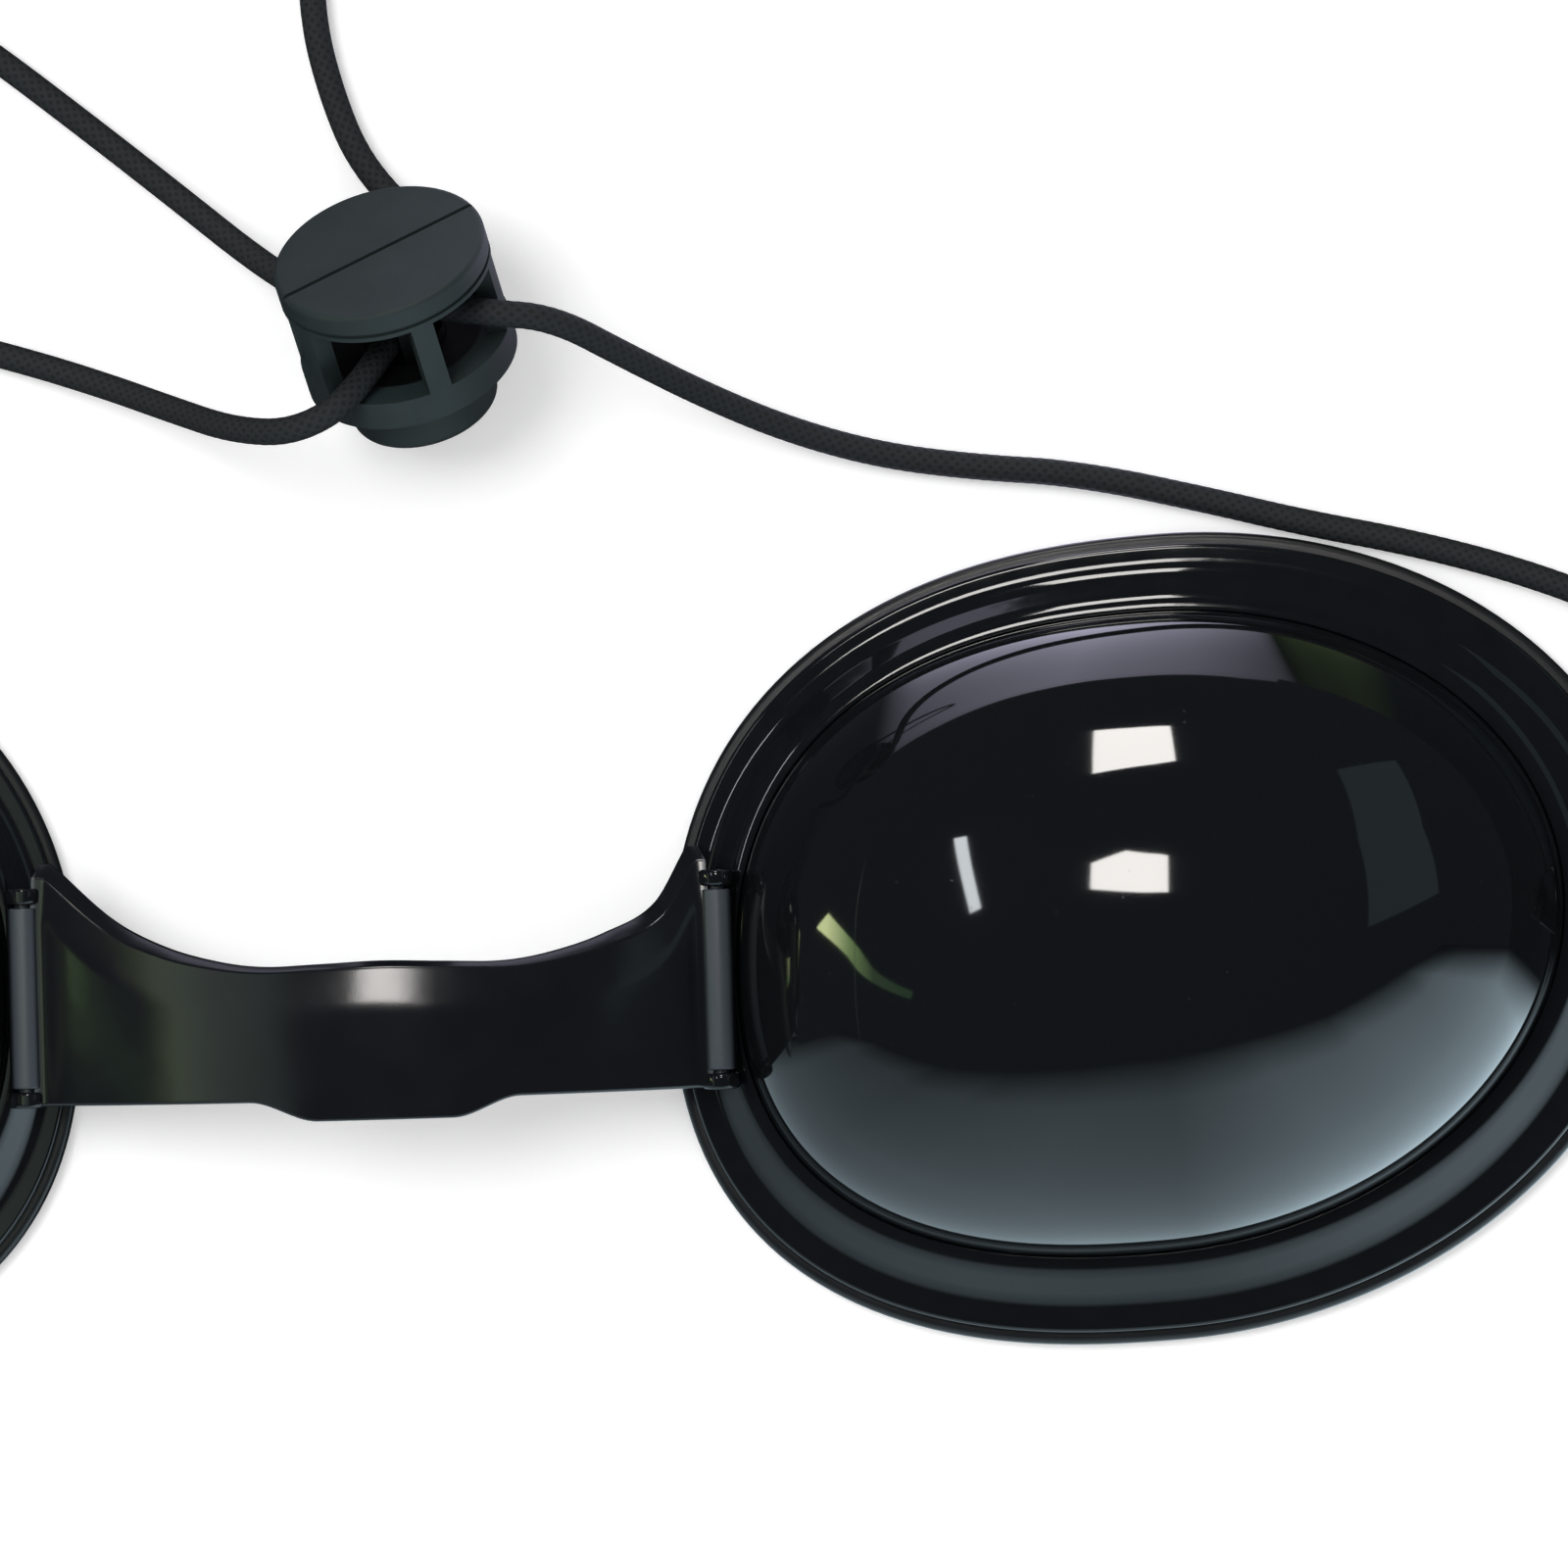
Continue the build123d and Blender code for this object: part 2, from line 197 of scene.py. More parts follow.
class Finish(Nodes):
    """One material, built around a Principled shader."""

    def __init__(self, name, roughness=0.4, metallic=0.0, shine=0.5):
        self.material = bpy.data.materials.new(name)
        self.material.use_nodes = True
        super().__init__(self.material.node_tree)
        self.shader = self.tree.nodes["Principled BSDF"]
        self.shader.inputs["Roughness"].default_value = roughness
        self.shader.inputs["Metallic"].default_value = metallic
        self.shader.inputs["Specular IOR Level"].default_value = shine

    def object_place(self, scale=(1.0, 1.0, 1.0)):
        """The point on the piece, in metres, stretched by scale."""
        place = self.node("ShaderNodeTexCoord", output=3)
        return self.node("ShaderNodeMapping", Vector=place, Scale=scale)

    def axis_place(self, axis):
        """The distance along X, Y or Z of the point on the piece, in metres."""
        apart = self.tree.nodes.new("ShaderNodeSeparateXYZ")
        self.feed(apart.inputs[0], self.object_place())
        return Sock(self, apart.outputs[axis])

    def noise(self, size, detail=2.0, roughness=0.5, place=None):
        """Soft random variation; size is about one patch in metres."""
        where = place or self.object_place()
        shape = {"Detail": detail, "Roughness": roughness}
        return self.node("ShaderNodeTexNoise", Vector=where, Scale=1.0 / size, **shape)

    def between(self, share, low, high):
        """A number that goes from low to high as share goes from 0 to 1."""
        limits = {"From_Min": 0.0, "From_Max": 1.0, "To_Min": low, "To_Max": high}
        return self.node("ShaderNodeMapRange", {"clamp": True}, Value=share, **limits)

    def colour(self, value):
        self.feed(self.shader.inputs["Base Color"], value)

    def roughness(self, value):
        self.feed(self.shader.inputs["Roughness"], value)

    def bump(self, height, depth):
        """Raise the surface by height times depth in metres."""
        normal = self.node("ShaderNodeBump", Height=height * (depth / mm), Distance=mm, Strength=1.0)
        self.feed(self.shader.inputs["Normal"], normal)


def rgb(red, green, blue):
    """A colour as it is seen, from 0 to 255, as the linear colour a shader takes."""
    shares = [c / 255 for c in (red, green, blue)]
    linear = [s / 12.92 if s <= 0.04045 else ((s + 0.055) / 1.055) ** 2.4 for s in shares]
    return (*linear, 1.0)


print("shader helpers ready")

# %% [markdown]
# ## Finishes
#
# Nearly everything is black, so the finishes differ by gloss and by small relief: the domes are
# polished, the frames a little less so with faint flow lines, the bridge and seals are soft and
# satin, the lock is a fine matte grain and the cord is woven.

# %% Gloss finishes: domes and frames
speck_size = 0.35 * mm
speck_share = (0.72, 0.8)
wave_depth = 0.006 * mm


def dome_gloss():
    """Polished opaque black with the faintest waviness and a few dust specks."""
    finish = Finish("dome_gloss", roughness=0.04)
    wave = finish.noise(9 * mm, detail=1.0)
    dust = finish.stretch(finish.noise(speck_size, detail=3.0), *speck_share)
    smear = finish.noise(5 * mm, detail=4.0, roughness=0.6)
    finish.colour(finish.mix(dust * 0.25, rgb(14, 16, 18), rgb(60, 62, 64)))
    finish.roughness(finish.between(smear, 0.025, 0.06) + dust * 0.2)
    finish.bump(wave, wave_depth)
    return finish.material


def frame_gloss():
    """Glossy moulded black with fine flow waves."""
    finish = Finish("frame_gloss", roughness=0.06, shine=0.36)
    flow = finish.noise(2.2 * mm, detail=2.0)
    smear = finish.noise(1.6 * mm, detail=4.0, roughness=0.65)
    finish.colour(finish.mix(smear, rgb(12, 14, 16), rgb(19, 21, 24)))
    finish.roughness(finish.between(smear, 0.03, 0.09))
    finish.bump(flow, wave_depth)
    return finish.material


print("gloss finishes ready")

# %% Soft finishes: seals and bridge


def seal_rubber():
    """Smooth black silicone with a soft sheen and fine pores."""
    finish = Finish("seal_rubber", roughness=0.32, shine=0.35)
    grain = finish.noise(0.16 * mm, detail=3.0)
    cloud = finish.noise(3.0 * mm, detail=3.0)
    finish.colour(finish.mix(cloud, rgb(17, 18, 20), rgb(27, 29, 31)))
    finish.roughness(finish.between(cloud, 0.26, 0.4))
    finish.bump(grain, 0.004 * mm)
    return finish.material


pin_x = 19.35 * mm
# Reach and soft edge of the painted highlight round each hinge pin.
knuckle_sheen_reach = 0.55 * mm
knuckle_sheen_edge = 0.25 * mm
sink_depth = 0.016 * mm


def bridge_rubber():
    """Soft black moulding with a satin face, gentle sink waves, and a painted pale sheen round each hinge
    knuckle.
    """
    finish = Finish("bridge_rubber", roughness=0.2, shine=0.4)
    sink = finish.noise(2.6 * mm, detail=1.5)
    grain = finish.noise(0.12 * mm, detail=2.0)
    smear = finish.noise(3.5 * mm, detail=4.0, roughness=0.6)
    tone = finish.mix(smear, rgb(12, 13, 16), rgb(21, 23, 27))
    across = finish.axis_place(0)
    off_pin = finish.maths("ABSOLUTE", finish.maths("ABSOLUTE", across) - pin_x)
    # Painted highlight: a band round each hinge pin turns lighter grey and rougher, standing in for the light
    # the knuckles mirror.
    painted_knuckle_sheen = 1.0 - finish.stretch(off_pin, knuckle_sheen_reach, knuckle_sheen_reach + knuckle_sheen_edge)
    finish.colour(finish.mix(painted_knuckle_sheen * 0.8, tone, rgb(66, 73, 80)))
    finish.roughness(finish.between(smear, 0.1, 0.19) + painted_knuckle_sheen * 0.25)
    finish.bump(sink * 0.9 + grain * 0.1, sink_depth)
    return finish.material


print("soft finishes ready")

# %% Hard finishes: pins, lock and spring


def pin_plastic():
    """Satin dark plastic rod with fine lines turned round it."""
    finish = Finish("pin_plastic", roughness=0.28)
    ring = finish.noise(0.12 * mm, place=finish.object_place((0.05, 1.0, 0.05)))
    cloud = finish.noise(1.5 * mm, detail=3.0)
    finish.colour(finish.mix(cloud, rgb(40, 43, 48), rgb(58, 61, 68)))
    finish.roughness(finish.between(cloud, 0.22, 0.36))
    finish.bump(ring, 0.006 * mm)
    return finish.material


cap_middle = Vector((1.75, 39.3, 10.25)) * mm
lock_axis = Vector((-0.19668, 0.75184, 0.62932))
bore_radius = 4.27 * mm
barrel_length = 7.8 * mm
cap_thickness = 1.1 * mm
foot_depth = 0.8 * mm
bore_shade_edge = 0.15 * mm
cap_shade_edge = 0.1 * mm
grain_depth = 0.012 * mm


def lock_matte():
    """Matte dark grey-green moulding with spark-eroded grain, and painted shade that darkens the bore behind
    the windows.
    """
    finish = Finish("lock_matte", roughness=0.55, shine=0.25)
    grain = finish.noise(0.09 * mm, detail=3.0, roughness=0.7)
    cloud = finish.noise(2.8 * mm, detail=4.0, roughness=0.6)
    tone = finish.mix(cloud, rgb(30, 39, 40), rgb(42, 52, 52))
    apart = finish.vector("SUBTRACT", tuple(cap_middle), finish.object_place())
    depth = finish.vector("DOT_PRODUCT", apart, tuple(lock_axis), output=1)
    off_axis = finish.vector("LENGTH", finish.vector("CROSS_PRODUCT", apart, tuple(lock_axis)), output=1)
    in_bore = 1.0 - finish.stretch(off_axis, bore_radius, bore_radius + bore_shade_edge)
    behind_cap = finish.stretch(depth, cap_thickness - cap_shade_edge, cap_thickness + cap_shade_edge)
    before_foot = 1.0 - finish.stretch(depth, barrel_length - foot_depth, barrel_length)
    # Painted shade: inside the bore, between the cap and the foot, the colour turns near black.
    finish.colour(finish.mix(in_bore * behind_cap * before_foot, tone, rgb(5, 6, 7)))
    finish.roughness(finish.between(grain, 0.48, 0.66))
    finish.bump(grain, grain_depth)
    return finish.material


def spring_steel():
    """Bright drawn spring wire."""
    finish = Finish("spring_steel", roughness=0.25, metallic=1.0)
    draw = finish.noise(0.2 * mm, detail=2.0)
    finish.colour(finish.mix(draw, rgb(150, 150, 152), rgb(186, 186, 188)))
    finish.roughness(finish.between(draw, 0.18, 0.34))
    return finish.material


print("hard finishes ready")

# %% [markdown]
# ## The cord's weave
#
# The cord is a rubber core in a tight braid. Each tube gets a UV map that counts braid cells along
# and around it, so the two families of strands can be drawn as waves that cross on the diagonal.

# %% Cord finish


def cord_weave():
    """Charcoal braid: two diagonal families of strands that pass over and under each other."""
    finish = Finish("elastic_cord", roughness=0.72, shine=0.2)
    place = finish.node("ShaderNodeUVMap", {"uv_map": "braid"})
    split = finish.tree.nodes.new("ShaderNodeSeparateXYZ")
    finish.feed(split.inputs[0], place)
    along, around = Sock(finish, split.outputs[0]), Sock(finish, split.outputs[1])
    first = finish.maths("SINE", (along + around) * (2 * math.pi))
    second = finish.maths("SINE", (along - around) * (2 * math.pi))
    strand = finish.maths("MAXIMUM", first, second) * 0.5 + 0.5
    fuzz = finish.noise(0.07 * mm, detail=3.0, roughness=0.7)
    cloud = finish.noise(6.0 * mm, detail=3.0)
    shade = strand * 0.65 + fuzz * 0.35
    dark = finish.mix(cloud, rgb(12, 14, 15), rgb(19, 21, 22))
    finish.colour(finish.mix(shade, dark, rgb(40, 43, 45)))
    finish.roughness(finish.between(fuzz, 0.6, 0.85))
    finish.bump(strand * 0.8 + fuzz * 0.2, 0.03 * mm)
    return finish.material


finishes = {
    make.__name__ if make is not cord_weave else "elastic_cord": make()
    for make in (
        dome_gloss, frame_gloss, seal_rubber, bridge_rubber, pin_plastic, lock_matte, spring_steel, cord_weave
    )
}
print("finishes:", ", ".join(finishes))

# %% [markdown]
# ## The elastic cord
#
# The cord lies where the imported model says: out of each ear, along the table, up into the lock, and
# round in one free loop behind it. A smooth curve with the route's points as its control points
# gives the centreline, and a tube follows it. The tube becomes a plain mesh.

# %% Cord routes in millimetres
cord_diameter = 1.5 * mm
right_outer_route = (
    (74.4, 1.58, 3.85), (74.4, 1.58, 0.8), (74.9, 5.1, 0.8), (75.5, 9.6, 0.8), (74.2, 14.4, 0.8),
    (70.6, 17.9, 0.8), (65.2, 20.1, 0.8), (59.0, 21.9, 0.8), (52.9, 23.2, 0.8), (47.6, 24.6, 0.8),
    (43.8, 25.5, 0.8),
)
right_inner_route = (
    (43.8, 25.5, 0.8), (40.0, 26.35, 0.8), (34.8, 26.8, 0.8), (29.4, 27.6, 0.9), (24.3, 29.1, 1.6),
    (19.5, 31.15, 3.5), (15.2, 33.3, 7.0), (11.3, 35.35, 10.1), (7.65, 35.7, 10.7), (2.46, 36.59, 7.98),
)
loop_route = (
    (2.46, 36.59, 7.98), (-2.55, 37.45, 5.35), (-5.6, 39.6, 3.1), (-9.6, 43.0, 1.5), (-14.6, 47.15, 0.8),
    (-21.0, 52.3, 0.8), (-28.7, 57.6, 0.8), (-36.4, 64.4, 0.8), (-41.6, 73.7, 0.8), (-42.2, 84.9, 0.8),
    (-37.6, 95.6, 0.8), (-28.6, 102.9, 0.8), (-17.2, 104.6, 0.8), (-7.0, 100.2, 0.8), (-0.2, 91.2, 0.8),
    (2.6, 80.4, 0.8), (2.3, 71.0, 0.8), (0.1, 63.6, 0.8), (-2.0, 57.8, 0.8), (-2.0, 52.8, 0.8),
    (-1.0, 48.6, 0.8), (0.3, 45.2, 0.9), (2.6, 42.3, 1.3), (5.4, 39.97, 2.41), (2.76, 35.43, 7.01),
)
left_inner_route = (
    (2.76, 35.43, 7.01), (0.31, 31.2, 11.29), (-3.0, 29.35, 11.1), (-6.6, 29.7, 8.2), (-10.3, 31.15, 4.6),
    (-14.4, 32.8, 1.8), (-19.4, 34.5, 0.8), (-26.0, 36.3, 0.8), (-33.4, 37.7, 0.8), (-40.0, 38.0, 0.8),
    (-45.0, 37.4, 0.8),
)
left_outer_route = (
    (-45.0, 37.4, 0.8), (-50.0, 36.8, 0.8), (-56.6, 34.2, 0.8), (-63.2, 29.9, 0.8), (-69.0, 24.2, 0.8),
    (-73.2, 17.7, 0.8), (-75.3, 11.2, 0.8), (-75.0, 5.6, 0.8), (-74.4, 1.58, 0.8), (-74.4, 1.58, 3.85),
)
print("five cord stretches")

# %% Smooth curve from a route
line_steps = 24


def route_curve(name, route):
    """A smooth curve object whose control points are the route's."""
    curve = bpy.data.curves.new(name, "CURVE")
    curve.dimensions = "3D"
    curve.resolution_u = line_steps
    spline = curve.splines.new("NURBS")
    spline.points.add(len(route) - 1)
    for point, place in zip(spline.points, route):
        point.co = (*(Vector(place) * mm), 1.0)
    spline.order_u = 3
    spline.use_endpoint_u = True
    holder = bpy.data.objects.new(name, curve)
    bpy.context.scene.collection.objects.link(holder)
    return holder


def centreline(holder):
    """The points of the smooth line that a curve object draws, and its length."""
    line = bpy.data.meshes.new_from_object(holder)
    points = [vertex.co.copy() for vertex in line.vertices]
    bpy.data.meshes.remove(line)
    return points, sum((after - before).length for before, after in zip(points, points[1:]))


print("route helpers ready")

# %% [markdown]
# ## The braided tube as Geometry Nodes
#
# What follows a path is a job for Geometry Nodes. The tree steps along the curve, carries a circle
# along it, and draws the skin in where two strands of the braid leave a hollow. The place of each
# vertex in the braid follows from its number, because the tube's vertices are counted ring by ring.

# %% Braided tube tree


def braided_tube():
    """A node tree that turns a curve into a round tube with a braided skin and a braid UV map."""
    group = bpy.data.node_groups.new("braided_tube", "GeometryNodeTree")
    sockets = {
        "Path": "Geometry", "Radius": "Float", "Ring step": "Float", "Braid pitch": "Float",
        "Relief": "Float", "Sides": "Int", "Strands": "Int", "Finish": "Material",
    }
    for name, kind in sockets.items():
        group.interface.new_socket(name, in_out="INPUT", socket_type="NodeSocket" + kind)
    group.interface.new_socket("Tube", in_out="OUTPUT", socket_type="NodeSocketGeometry")
    nodes = Nodes(group)
    source = group.nodes.new("NodeGroupInput")
    given = {name: Sock(nodes, source.outputs[name]) for name in sockets}
    sides, cells_round = given["Sides"], given["Strands"] / 2

    length = nodes.node("GeometryNodeCurveLength", Curve=given["Path"])
    steps = nodes.maths("ROUND", length / given["Ring step"])
    rings = nodes.node("GeometryNodeResampleCurve", {"mode": "COUNT"}, Curve=given["Path"], Count=steps + 1)
    circle = nodes.node("GeometryNodeCurvePrimitiveCircle", Resolution=sides, Radius=given["Radius"])
    tube = nodes.node("GeometryNodeCurveToMesh", Curve=rings, Profile_Curve=circle, Fill_Caps=True)

    def ring_and_side(number):
        """Which ring something lies on, and how far round it, from its number."""
        ring = nodes.maths("FLOOR", (number + 0.5) / sides)
        return ring, number - ring * sides

    def cells(ring, side):
        """The same place counted in cells of the braid, along and around."""
        return ring * length / steps / given["Braid pitch"], side * cells_round / sides

    along, around = cells(*ring_and_side(nodes.node("GeometryNodeInputIndex")))
    one_way = nodes.maths("SINE", (along + around) * (2 * math.pi))
    other_way = nodes.maths("SINE", (along - around) * (2 * math.pi))
    hollow = 0.5 - nodes.maths("MAXIMUM", one_way, other_way) * 0.5
    normal = nodes.node("GeometryNodeInputNormal")
    inward = nodes.node(
        "ShaderNodeVectorMath", {"operation": "SCALE"}, Vector=normal, Scale=hollow * given["Relief"] * -1,
    )
    skin = nodes.node("GeometryNodeSetPosition", Geometry=tube, Offset=inward)

    ring, side = ring_and_side(nodes.node("GeometryNodeVertexOfCorner"))
    _, face_side = ring_and_side(nodes.node("GeometryNodeFaceOfCorner"))
    at_seam = nodes.maths("GREATER_THAN", face_side - side, 1.5)
    along, around = cells(ring, side + at_seam * sides)
    cell_place = nodes.node("ShaderNodeCombineXYZ", X=along, Y=around)
    mapped = nodes.node(
        "GeometryNodeStoreNamedAttribute", {"data_type": "FLOAT2", "domain": "CORNER"},
        Geometry=skin, Name="braid", Value=cell_place,
    )
    smooth = nodes.node("GeometryNodeSetShadeSmooth", Geometry=mapped)
    whole = nodes.node("GeometryNodeRealizeInstances", Geometry=smooth)
    dressed = nodes.node("GeometryNodeSetMaterial", Geometry=whole, Material=given["Finish"])
    nodes.node("NodeGroupOutput", Tube=dressed)
    return group


tube_tree = braided_tube()
print("tube tree with", len(tube_tree.nodes), "nodes")

# %% From tree to piece
cord_sides = 40
cord_strands = 16
braid_pitch = 0.62 * mm
braid_relief = 0.022 * mm
ring_step = 0.13 * mm


def made_by(tree, holder, **values):
    """Run a node tree on an object, and return the plain mesh that it makes."""
    modifier = holder.modifiers.new(tree.name, "NODES")
    modifier.node_group = tree
    for item in tree.interface.items_tree:
        if item.in_out == "INPUT" and item.name.replace(" ", "_") in values:
            modifier[item.identifier] = values[item.name.replace(" ", "_")]
    graph = bpy.context.evaluated_depsgraph_get()
    data = bpy.data.meshes.new_from_object(
        holder.evaluated_get(graph), preserve_all_data_layers=True, depsgraph=graph,
    )
    holder.modifiers.remove(modifier)
    bpy.data.objects.remove(holder)
    return data


def place_piece(data, name, finish):
    """Put a finished mesh in the scene as a piece of the object."""
    made = bpy.data.objects.new(name, data)
    bpy.context.scene.collection.objects.link(made)
    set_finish(made, finish)
    return made


def braid(holder, name, radius):
    """Turn a curve object into a piece of braided cord."""
    data = made_by(
        tube_tree, holder, Radius=radius, Ring_step=ring_step, Braid_pitch=braid_pitch,
        Relief=braid_relief, Sides=cord_sides, Strands=cord_strands, Finish=finishes["elastic_cord"],
    )
    return place_piece(data, name, "elastic_cord")


print("piece helpers ready")

# %% Lay the five stretches


def lay_cord(name, route):
    """Make one stretch of cord and return the piece, its line and its length."""
    holder = route_curve(name, route)
    points, length = centreline(holder)
    piece = braid(holder, name + "_weave", cord_diameter / 2)
    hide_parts(name)
    print(name, round(length / mm, 1), "mm,", len(piece.data.polygons), "faces")
    return piece, points, length


routes = {
    "right_cord_outer": right_outer_route, "right_cord_inner": right_inner_route, "cord_loop": loop_route,
    "left_cord_inner": left_inner_route, "left_cord_outer": left_outer_route,
}
cords = {name: lay_cord(name, route) for name, route in routes.items()}

# %% [markdown]
# ## The stopper knots
#
# Each end of the cord is tied off above the ear in a pulled-down overhand knot, whose line is a
# trefoil. The same tube tree follows it.

# %% Knots above the ears
knot_steps = 150
knot_strand = 0.62 * mm


def knot_points(middle, reach, height):
    """A trefoil round middle, drawn in to reach and flattened to height."""
    points = []
    for number in range(knot_steps):
        turn = 2 * math.pi * number / knot_steps
        x = math.sin(turn) + 2 * math.sin(2 * turn)
        y = math.cos(turn) - 2 * math.cos(2 * turn)
        z = -math.sin(3 * turn)
        points.append(middle + Vector((x * reach / 3, y * reach / 3, z * height)))
    return points


def tie_knot(side):
    """The knot on one side, within the space of its CAD solid."""
    low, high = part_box(side + "_cord_knot")
    middle = (low + high) / 2
    reach = (high.x - low.x) / 2 - knot_strand
    height = (high.z - low.z) / 2 - knot_strand
    points = knot_points(middle, reach, height)
    curve = bpy.data.curves.new(side + "_knot", "CURVE")
    curve.dimensions = "3D"
    spline = curve.splines.new("POLY")
    spline.points.add(len(points))
    for point, place in zip(spline.points, points + points[:1]):
        point.co = (*place, 1.0)
    holder = bpy.data.objects.new(side + "_knot", curve)
    bpy.context.scene.collection.objects.link(holder)
    knot = braid(holder, side + "_knot_weave", knot_strand)
    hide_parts(side + "_cord_knot")
    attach(knot, side + "_cup")
    print(side, "knot,", len(knot.data.polygons), "faces")
    return knot


knots = {side: tie_knot(side) for side in ("right", "left")}

# %% [markdown]
# ## The shape that every cup piece shares
#
# Seen from above, the rim is an oval that is squarer towards the nose. Every loop of every cup piece
# is that oval drawn in by some distance, and the deeper it lies, the more it shifts with the dome.

# %% Rim oval
rim_centre = Vector((44.6, 0.1)) * mm
rim_half_length = 27.95 * mm
rim_half_width = 22.7 * mm
nose_squareness = 2.4
temple_squareness = 2.0
skew_slope = 0.053
nose_droop = 0.02
dome_shift = Vector((-1.05, 0.35)) * mm
dome_inset = 4.8 * mm
loop_points = 192


def rim_place(share, inset, scale=1.0):
    """A point of the oval drawn in by inset, share of the way round, for the right-hand cup."""
    shift = min(inset / dome_inset, 1.0)
    across, up = math.cos(2 * math.pi * share), math.sin(2 * math.pi * share)
    square = nose_squareness if across < 0 else temple_squareness
    size = (abs(across) ** square + abs(up) ** square) ** (-1 / square)
    x = (rim_half_length - inset) * scale * across * size
    droop = nose_droop * min(x, 0.0) ** 2 / rim_half_length
    y = (rim_half_width - inset) * scale * up * size + skew_slope * x - droop
    return rim_centre.x + dome_shift.x * shift + x, rim_centre.y + dome_shift.y * shift + y


def piece_from(mesh, name, finish, smooth):
    """Turn a bmesh into a piece; edges sharper than smooth degrees stay sharp."""
    data = bpy.data.meshes.new(name)
    mesh.to_mesh(data)
    mesh.free()
    data.materials.append(finishes[finish])
    data.polygons.foreach_set("use_smooth", [True] * len(data.polygons))
    data.set_sharp_from_angle(angle=math.radians(smooth))
    return place_piece(data, name, finish)


def add_loop(mesh, inset, height, scale=1.0):
    """One loop of vertices round the cup."""
    places = [rim_place(number / loop_points, inset, scale) for number in range(loop_points)]
    return [mesh.verts.new((x, y, height)) for x, y in places]


def bridge_loops(mesh, first, second):
    """Join two loops with a band of faces."""
    for number in range(loop_points):
        following = (number + 1) % loop_points
        mesh.faces.new((first[number], first[following], second[following], second[number]))


def rounded(corners, steps=7):
    """A closed profile with each corner (inset, height, radius) rounded off."""
    profile = []
    for number, (x, z, radius) in enumerate(corners):
        here = Vector((x, z))
        before = Vector(corners[number - 1][:2])
        after = Vector(corners[(number + 1) % len(corners)][:2])
        start = here + (before - here).normalized() * radius
        end = here + (after - here).normalized() * radius
        for step in range(steps + 1):
            share = step / steps
            profile.append((start.lerp(here, share)).lerp(here.lerp(end, share), share))
    return profile


def mirrored(right_piece, name):
    """A left-hand copy of a right-hand piece."""
    mesh = bmesh.new()
    mesh.from_mesh(right_piece.data)
    for vertex in mesh.verts:
        vertex.co.x = -vertex.co.x
    bmesh.ops.reverse_faces(mesh, faces=mesh.faces)
    data = bpy.data.meshes.new(name)
    mesh.to_mesh(data)
    mesh.free()
    for material in right_piece.data.materials:
        data.materials.append(material)
    return place_piece(data, name, right_piece["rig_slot"])


def both_cups(right_piece, node):
    """Let a piece and its mirror stand for the right and the left node of that name."""
    left_piece = mirrored(right_piece, right_piece.name.replace("right", "left"))
    for side, piece in (("right", right_piece), ("left", left_piece)):
        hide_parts(f"{side}_{node}")
        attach(piece, side + "_cup")
    print(node, len(right_piece.data.polygons), "faces a side")


print("cup helpers ready")

# %% [markdown]
# ## Domes
#
# The real dome is blown or moulded plastic, so its surface is perfectly smooth and mirrors the whole
# room. A coarse mesh would show facets in those mirror images, so the dome is evaluated from its
# formula on a fine grid: an outer skin, an inner skin a wall's thickness inside, and a foot between.

# %% Domes
dome_foot_height = 3.0 * mm
dome_height = 13.25 * mm
dome_wall = 1.2 * mm
dome_swell = 2.1
dome_levels = 56


def dome_skin(mesh, height, wall):
    """One skin of the dome, from its foot to a single point at the crown."""
    loops = []
    for level in range(dome_levels):
        angle = math.pi / 2 * level / dome_levels
        share = math.sin(angle) ** (2 / dome_swell)
        scale = math.cos(angle) ** (2 / dome_swell)
        loops.append(add_loop(mesh, dome_inset + wall, dome_foot_height + height * share, scale))
    for low, high in zip(loops, loops[1:]):
        bridge_loops(mesh, low, high)
    crown_place = rim_centre + dome_shift
    crown = mesh.verts.new((crown_place.x, crown_place.y, dome_foot_height + height))
    for number in range(loop_points):
        mesh.faces.new((loops[-1][number], loops[-1][(number + 1) % loop_points], crown))
    return loops[0]


dome_mesh = bmesh.new()
outer_foot = dome_skin(dome_mesh, dome_height, 0.0)
inner_faces_from = len(dome_mesh.faces)
inner_foot = dome_skin(dome_mesh, dome_height - dome_wall, dome_wall)
dome_mesh.faces.ensure_lookup_table()
bmesh.ops.reverse_faces(dome_mesh, faces=dome_mesh.faces[inner_faces_from:])
bridge_loops(dome_mesh, inner_foot, outer_foot)
right_dome_shell = piece_from(dome_mesh, "right_dome_shell", "dome_gloss", smooth=40)
both_cups(right_dome_shell, "dome")

# %% [markdown]
# ## Cup frames
#
# Flange, riser and shelf are one moulding of steady section, so the section is drawn once, with the
# small radii that a mould leaves, and carried round the oval. These radii are what show as thin
# bright lines.

# %% Frame ring
seal_height = 1.1 * mm
flange_top = 1.9 * mm
shelf_top = 3.42 * mm
lip_inset = 0.7 * mm
riser_foot_inset = 2.25 * mm
riser_top_inset = 3.98 * mm
rebate_inset = 4.75 * mm
opening_inset = 6.4 * mm
lip_foot_round = 0.12 * mm
lip_round = 0.3 * mm
riser_foot_round = 0.7 * mm
riser_top_round = 0.6 * mm
rebate_round = 0.08 * mm
rebate_floor_round = 0.05 * mm
opening_round = 0.1 * mm

frame_corners = (
    (lip_inset, seal_height, lip_foot_round),
    (lip_inset, flange_top, lip_round),
    (riser_foot_inset, flange_top, riser_foot_round),
    (riser_top_inset, shelf_top, riser_top_round),
    (rebate_inset, shelf_top, rebate_round),
    (rebate_inset, dome_foot_height, rebate_floor_round),
    (opening_inset, dome_foot_height, opening_round),
    (opening_inset, seal_height, opening_round),
)


